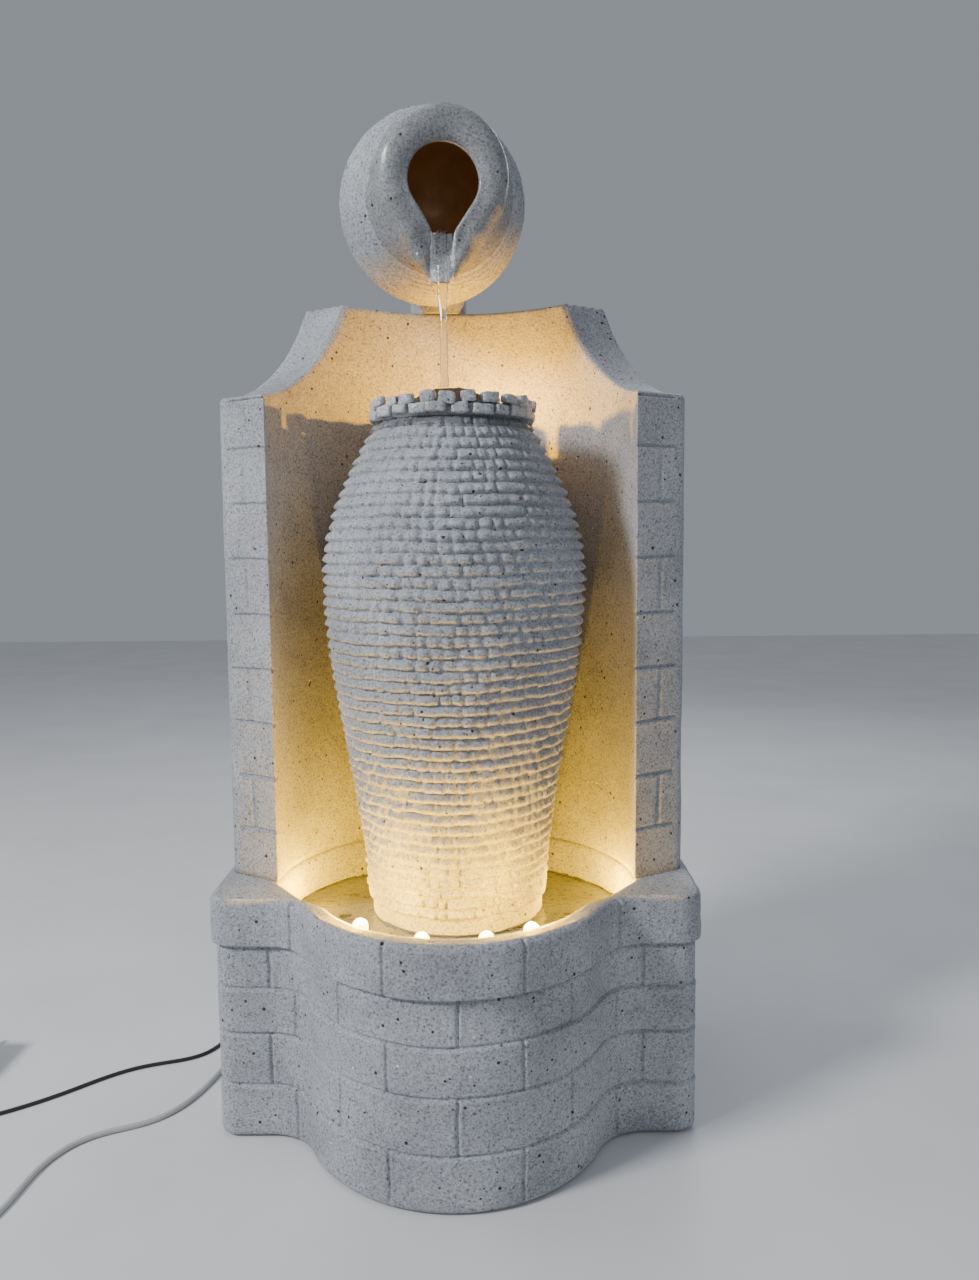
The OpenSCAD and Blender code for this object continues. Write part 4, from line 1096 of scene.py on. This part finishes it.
def tube(name, path, widths, heights, material, sides=20):
    """Smooth tube of an oval section along a path, with its own width and height at each point."""
    ahead = np.gradient(path, axis=0)
    ahead /= np.linalg.norm(ahead, axis=1, keepdims=True)
    across = np.cross(ahead, [0, -1.0, 0.02])
    across[np.abs(across[:, 0]) < 1e-6, 0] = 1e-6
    across *= np.sign(across[:, :1])
    across /= np.linalg.norm(across, axis=1, keepdims=True)
    up = np.cross(across, ahead)
    turn = np.linspace(0, 2 * np.pi, sides, endpoint=False)
    verts = (path[:, None] + across[:, None] * (np.cos(turn) * widths[:, None])[..., None]
             + up[:, None] * (np.sin(turn) * heights[:, None])[..., None]).reshape(-1, 3)
    faces = sheet_faces(len(path), sides).tolist()
    faces += fan_faces(0, sides, len(verts)) + fan_faces(len(verts) - sides, sides, len(verts) + 1)
    return tidy_object(name, np.concatenate([verts, path[[0, -1]]]), faces, material)


def make_stream():
    """Water from the pot's spout: over the trough's floor, then straight down into the vase."""
    pad_top = low_high("splash_pad")[1][2]
    depths = np.array([16, 9, 5, 2.5, 0, -3, -5]) * MM
    sheet = [(0, depth - 0.7 * MM, trough_height(depth) + 0.6 * MM) for depth in depths]
    trough = from_mouth(np.array(sheet + [(0, -7.6 * MM, TROUGH_LOW - 4 * MM)]))
    edge = trough[-1]
    fall = edge[2] - pad_top
    drop = np.linspace(0, 1, 60)[1:]
    falling = xyz(edge[0] + 0.7 * MM * drop, edge[1] - 5.5 * MM * np.sqrt(drop), edge[2] - fall * drop)
    path = np.concatenate([trough, falling])
    run = np.concatenate([[0], np.cumsum(np.linalg.norm(np.diff(path, axis=0), axis=1))])
    fine = np.linspace(0, run[-1], 150)
    path = np.stack([np.interp(fine, run, path[:, k]) for k in range(3)], -1)
    in_trough = smoothstep(edge[2] - 6 * MM, edge[2] + 6 * MM, path[:, 2])
    wave = value_noise(xyz(fine, 0, 0), 13 * MM, 71)
    fallen = np.clip((edge[2] - path[:, 2]) / fall, 0, 1)
    widths = (3.9 - 1.5 * smoothstep(0, 0.35, fallen) + 0.8 * fallen ** 3 + 0.35 * wave) * MM
    widths = widths * (1 - in_trough) + 4.0 * MM * in_trough
    heights = (1.6 + 0.3 * wave) * MM * (1 - in_trough) + 1.5 * MM * in_trough
    return tube("water_stream", path, widths, heights, WATER)


# ---------------------------------------------------------------- cords
# Routes in millimetres: out of the back wall, down to the floor and along it to the coil
PUMP_ROUTE = [
    (-130, 150, 95), (-130, 163, 95), (-131, 176, 93), (-134, 186, 84), (-141, 190, 68), (-151, 187, 50),
    (-162, 178, 33), (-172, 164, 19), (-180, 147, 9), (-185, 128, 4), (-188, 108, 2), (-191, 86, 2),
    (-195, 62, 2), (-200, 36, 2), (-206, 12, 2), (-214, -8, 2), (-226, -24, 2), (-242, -34, 2),
    (-259, -40, 2), (-275, -50, 2), (-287, -67, 2), (-293, -90, 2), (-294, -115, 2), (-298, -140, 2),
]
LED_ROUTE = [
    (-100, 150, 60), (-100, 163, 60), (-100, 177, 58), (-103, 189, 50), (-109, 198, 37), (-118, 203, 22),
    (-130, 204, 9), (-145, 200, 3), (-160, 192, 1.5), (-174, 180, 1.5), (-187, 164, 1.5), (-197, 144, 1.5),
    (-204, 120, 1.5), (-208, 96, 1.5), (-215, 76, 1.5), (-227, 65, 1.5), (-243, 59, 1.5), (-261, 54, 1.5),
    (-279, 45, 1.5), (-296, 31, 1.5), (-313, 14, 1.5), (-331, -1, 1.5), (-350, -14, 1.5), (-368, -24, 1.7),
]


def coil_points(centre, start, end, rows, touch, boot):
    """Clockwise turns of a wound coil, in from its outside at start and out to the boot's tip at end."""
    per_turn = 28
    turns = len(rows) - 1 + (start - end) / (2 * math.pi)
    count = int(round(turns * per_turn))
    done = np.linspace(0, turns, count + 1)
    turn = np.minimum(done.astype(int), len(rows) - 1)
    following = np.minimum(turn + 1, len(rows) - 1)
    shift = smoothstep(0.78, 1.0, done - turn)[:, None]
    reach, level = (rows[turn] + (rows[following] - rows[turn]) * shift).T
    coming = smoothstep(0.25, 0, done)
    leaving = smoothstep(turns - 0.28, turns, done)
    reach = reach + (touch - reach) * coming
    reach = reach + (math.hypot(*(boot[:2] - centre[:2])) - reach) * leaving
    level = level + (boot[2] - level) * leaving
    angle = start - 2 * math.pi * done
    return xyz(centre[0] + reach * np.cos(angle), centre[1] + reach * np.sin(angle), level)


def make_cord(name, route, entry, coil, diameter, places, plug, boot_z, material):
    """Lead along its route, round its coil and into the boot of its plug."""
    low, high = low_high(coil)
    centre = (low + high) / 2
    outside = (high[0] - low[0]) / 2
    column, row = np.array(places).T
    rows = np.column_stack([outside - diameter * (0.5 + column), diameter * (0.52 + row)])
    plug_low, plug_high = low_high(plug)
    boot = np.array([(plug_low[0] + plug_high[0]) / 2, plug_low[1], boot_z])
    start = math.atan2(entry[1] * MM - centre[1], entry[0] * MM - centre[0])
    wound = coil_points(centre, start, -math.pi, rows, outside + diameter / 2, boot)
    points = np.concatenate([np.array(route) * MM, wound, [boot + [0, 3 * MM, 0], boot + [0, 9 * MM, 0]]])
    curve = bpy.data.curves.new(name, "CURVE")
    curve.dimensions = "3D"
    curve.bevel_depth = diameter / 2
    curve.bevel_resolution = 4
    curve.resolution_u = 3
    spline = curve.splines.new("NURBS")
    spline.points.add(len(points) - 1)
    for point, place in zip(spline.points, points):
        point.co = (*place, 1)
    spline.order_u = 4
    spline.use_endpoint_u = True
    curve.materials.append(material)
    return add_object(name, curve)


# ---------------------------------------------------------------- materials of the small parts
def fibre_material(name):
    g = Graph(name)
    strands = g.noise(420, 4, 0.75, 1.5)
    tone = g.ramp(strands, [
        (0.32, (0.018, 0.011, 0.007, 1)), (0.6, (0.085, 0.05, 0.028, 1)), (0.78, (0.2, 0.13, 0.075, 1))])
    shade = g.ramp(strands, [(0.35, 0.35), (0.7, 0.75)])
    normal = g.bump(strands, 0.9, 0.0015, g.bump(g.cells(300).outputs["Distance"], 0.6, 0.0012))
    return g.finish(tone, shade, normal)


def inside_material(name):
    g = Graph(name)
    # Painted shade: dark brown that stands in for the shade and warm LED light inside the pot.
    painted_warm_shade = g.ramp(g.noise(28, 3, 0.6), shades(0.3, (0.16, 0.085, 0.025), 0.7, (0.26, 0.15, 0.05)))
    shade = g.ramp(g.noise(60, 2, 0.5), [(0.3, 0.35), (0.7, 0.6)])
    return g.finish(painted_warm_shade, shade, g.bump(g.noise(300, 3, 0.6), 0.3, 0.0006))


POT_INSIDE_PAINTED_SHADE = inside_material("pot_inside_painted_shade")
PAD_FIBRE = fibre_material("pad_fibre")
BLACK_RUBBER = plastic_material("black_rubber", (0.022, 0.022, 0.023), 0.62, 0.35, 900)
GREY_RUBBER = plastic_material("grey_rubber", (0.16, 0.16, 0.165), 0.7, 0.35, 900)
PUMP_PLASTIC = plastic_material("pump_plastic", (0.03, 0.035, 0.04), 0.38, 0.3, 1600)
ROTOR_PLASTIC = plastic_material("rotor_plastic", (0.05, 0.14, 0.42), 0.35, 0.2)
DIAL_PLASTIC = plastic_material("dial_plastic", (0.72, 0.16, 0.03), 0.4, 0.2)
CERAMIC = plastic_material("shaft_ceramic", (0.86, 0.85, 0.82), 0.15, 0.08, 2200)
HOSE = plastic_material("hose_plastic", (0.62, 0.66, 0.66), 0.22, 0.1, 500, Transmission_Weight=0.35)
STEEL = metal_material("steel", (0.62, 0.63, 0.65), 0.26)
BRASS = metal_material("brass", (0.78, 0.58, 0.28), 0.24)
LENS = light_material("light_lens", (1.0, 0.72, 0.32), 9.0)
LIGHT_BODY = plastic_material("light_body", (0.045, 0.045, 0.048), 0.42, 0.25, 1500)
WHITE_LEAD = plastic_material("white_lead", (0.50, 0.50, 0.49), 0.42, 0.3, 1100)
BLACK_LEAD = plastic_material("black_lead", (0.018, 0.018, 0.019), 0.4, 0.3, 1100)
ADAPTER = plastic_material("adapter_plastic", (0.024, 0.024, 0.026), 0.48, 0.45, 2200)

NODE_MATERIALS = {
    STONE: ("deck", "pot_saddle", "rear_hatch"),
    BLACK_RUBBER: ("hatch_gasket", "suction_cups"),
    GREY_RUBBER: ("feet", "drain_plug"),
    PUMP_PLASTIC: ("pump_body", "pump_volute", "intake_grille", "inlet_spigot", "led_junction"),
    ROTOR_PLASTIC: ("impeller",),
    DIAL_PLASTIC: ("flow_dial",),
    CERAMIC: ("impeller_shaft",),
    HOSE: ("riser_hose",),
    STEEL: ("hose_clamp", "hatch_screws"),
    BRASS: ("pump_plug_pins", "led_adapter_pins"),
    LENS: ("led_lenses", "mouth_led_lens"),
    LIGHT_BODY: ("led_housings", "mouth_led_housing"),
    WHITE_LEAD: ("pump_inner_lead", "pump_strain_relief", "pump_plug"),
    BLACK_LEAD: ("led_cable", "mouth_led_cable", "led_inner_lead", "led_strain_relief", "pump_lead_tie",
                 "led_lead_tie"),
    ADAPTER: ("led_adapter",),
}
for material, nodes in NODE_MATERIALS.items():
    for node in nodes:
        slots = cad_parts[node].data.materials
        slots.clear()
        slots.append(material)


# ---------------------------------------------------------------- camera
CAMERA_LENS = 27.28
CAMERA_PLACE = (0.0264, -0.723, 0.4287)
CAMERA_TILT = math.radians(84.7)
CAMERA_ROLL = math.radians(-0.5)

camera = add_object("camera", bpy.data.cameras.new("camera"))
camera.data.lens = CAMERA_LENS
camera.data.sensor_width = 36
camera.data.sensor_fit = "AUTO"
camera.data.clip_start = 0.02
camera.matrix_world = (Matrix.Translation(CAMERA_PLACE) @ Matrix.Rotation(CAMERA_TILT, 4, "X")
                       @ Matrix.Rotation(CAMERA_ROLL, 4, "Z"))
bpy.context.scene.camera = camera


# ---------------------------------------------------------------- cords in place
PUMP_LEAD_D = 4 * MM
LED_LEAD_D = 3 * MM
PUMP_TURNS = [(0, 0), (1, 0), (2, 0), (2, 1), (1, 1), (0, 1), (1, 2), (0, 2)]
LED_TURNS = [(0, 0), (1, 0), (2, 0), (2, 1), (1, 1), (0, 1), (0, 2), (2, 2), (1, 2), (0, 3)]
pump_lead = make_cord("pump_lead_wound", PUMP_ROUTE, (-308, -160), "pump_lead_coil", PUMP_LEAD_D,
                      PUMP_TURNS, "pump_plug", 6.8 * MM, WHITE_LEAD)
led_lead = make_cord("led_lead_wound", LED_ROUTE, (-386, -33), "led_lead_coil", LED_LEAD_D,
                     LED_TURNS, "led_adapter", 9 * MM, BLACK_LEAD)
CORDS = (
    (pump_lead, PUMP_ROUTE, PUMP_LEAD_D, ("pump_lead", "pump_lead_coil"), "white_lead",
     ("pump_strain_relief", "pump_lead_tie", "pump_plug", "pump_plug_pins")),
    (led_lead, LED_ROUTE, LED_LEAD_D, ("led_lead", "led_lead_coil"), "black_lead",
     ("led_strain_relief", "led_lead_tie", "led_adapter", "led_adapter_pins")),
)
for cord, route, diameter, stands_for, slot, with_nodes in CORDS:
    x, y, z = route[0]
    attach(cord, FOUNTAIN)
    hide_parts(*stands_for)


# ---------------------------------------------------------------- pieces in place
basin = make_basin()
cut(basin, rear_cutters())
alcove = make_alcove()
vase = make_vase()
rim_tiles = make_rim_tiles()
pot = make_pot()
pad = make_splash_pad()
pool = make_pool()
stream = make_stream()
for piece, body, node, slot in (
        (basin, FOUNTAIN, "basin", "cast_stone"),
        (alcove, FOUNTAIN, "alcove", "cast_stone"),
        (vase, FOUNTAIN, "vase", "wet_stone"),
        (rim_tiles, FOUNTAIN, None, "wet_stone"),
        (pot, FOUNTAIN, "pot", "cast_stone"),
        (pad, "splash_pad", "splash_pad", "pad_foam"),
        (pool, FOUNTAIN, None, None),
        (stream, FOUNTAIN, None, None)):
    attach(piece, body)
    if node:
        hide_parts(node)


# ---------------------------------------------------------------- floor, lights and world
def add_light(name, kind, energy, colour, location, size, target=None):
    lamp = bpy.data.lights.new(name, kind)
    lamp.energy = energy
    lamp.color = colour
    if kind == "AREA":
        lamp.shape = "DISK"
        lamp.size = size
    else:
        lamp.shadow_soft_size = size
    light = add_object(name, lamp)
    light.location = location
    if target:
        light.rotation_euler = (Vector(target) - Vector(location)).to_track_quat("-Z", "Y").to_euler()


def floor_material(name):
    g = Graph(name)
    tone = g.ramp(g.noise(6, 3, 0.5), [(0.3, 0.70), (0.7, 0.76)])
    return g.finish(tone, 0.55, g.bump(g.noise(400, 2, 0.5), 0.05, 0.0002))


FLOOR_HALF = 4.0
corners = [(x * FLOOR_HALF, y * FLOOR_HALF, 0) for x, y in ((-1, -1), (1, -1), (1, 1), (-1, 1))]
stage_floor = mesh_object("studio_floor", corners, [(0, 1, 2, 3)], floor_material("studio_floor"), False)

world = bpy.data.worlds.new("studio")
world.use_nodes = True
sky = world.node_tree.nodes["Background"]
sky.inputs["Color"].default_value = (0.80, 0.86, 0.96, 1)
sky.inputs["Strength"].default_value = 0.34
bpy.context.scene.world = world

add_light("key", "AREA", 39, (0.97, 0.985, 1.0), (-1.5, -0.97, 1.45), 0.5, (0, 0, 0.4))
add_light("fill", "AREA", 2, (0.82, 0.88, 1.0), (1.2, -1.0, 0.9), 0.9, (0, 0, 0.35))
add_light("back", "AREA", 6, (0.9, 0.94, 1.0), (0.5, 1.4, 1.3), 0.8, (0, 0.1, 0.4))
add_light("top", "AREA", 5, (0.97, 0.985, 1.0), (-0.4, 0.1, 2.0), 0.8, (0, 0, 0.4))

POD_COLOUR = (1.0, 0.54, 0.012)
MOUTH_COLOUR = (1.0, 0.46, 0.003)
POD_RING = 88 * MM
POD_POWERS = (("pod_a", -136, 1.5), ("pod_b", -103, 0.2), ("pod_c", -75, 0.3), ("pod_d", -53, 1.1))
pod_z = low_high("led_lenses")[1][2] + 4 * MM
for name, turn, power in POD_POWERS:
    x = POD_RING * math.cos(math.radians(turn))
    y = BOW_Y + POD_RING * math.sin(math.radians(turn))
    add_light(name, "POINT", power, POD_COLOUR, (x, y, pod_z), 3 * MM)
for side in (-1, 1):
    gleam = (side * 106 * MM, 8 * MM, DECK_HIGH[2] + 14 * MM)
    add_light(f"pool_gleam_{side}", "POINT", 0.95, POD_COLOUR, gleam, 8 * MM)
x, y, _ = middle_of("mouth_led_lens")
z = low_high("mouth_led_lens")[1][2] + 1.5 * MM
add_light("mouth_light", "POINT", 1.6, MOUTH_COLOUR, (x, y, z), 1.4 * MM)
add_light("pot_glow", "POINT", 0.016, (1.0, 0.6, 0.3), tuple(POT_C), 10 * MM)

bpy.context.view_layer.update()
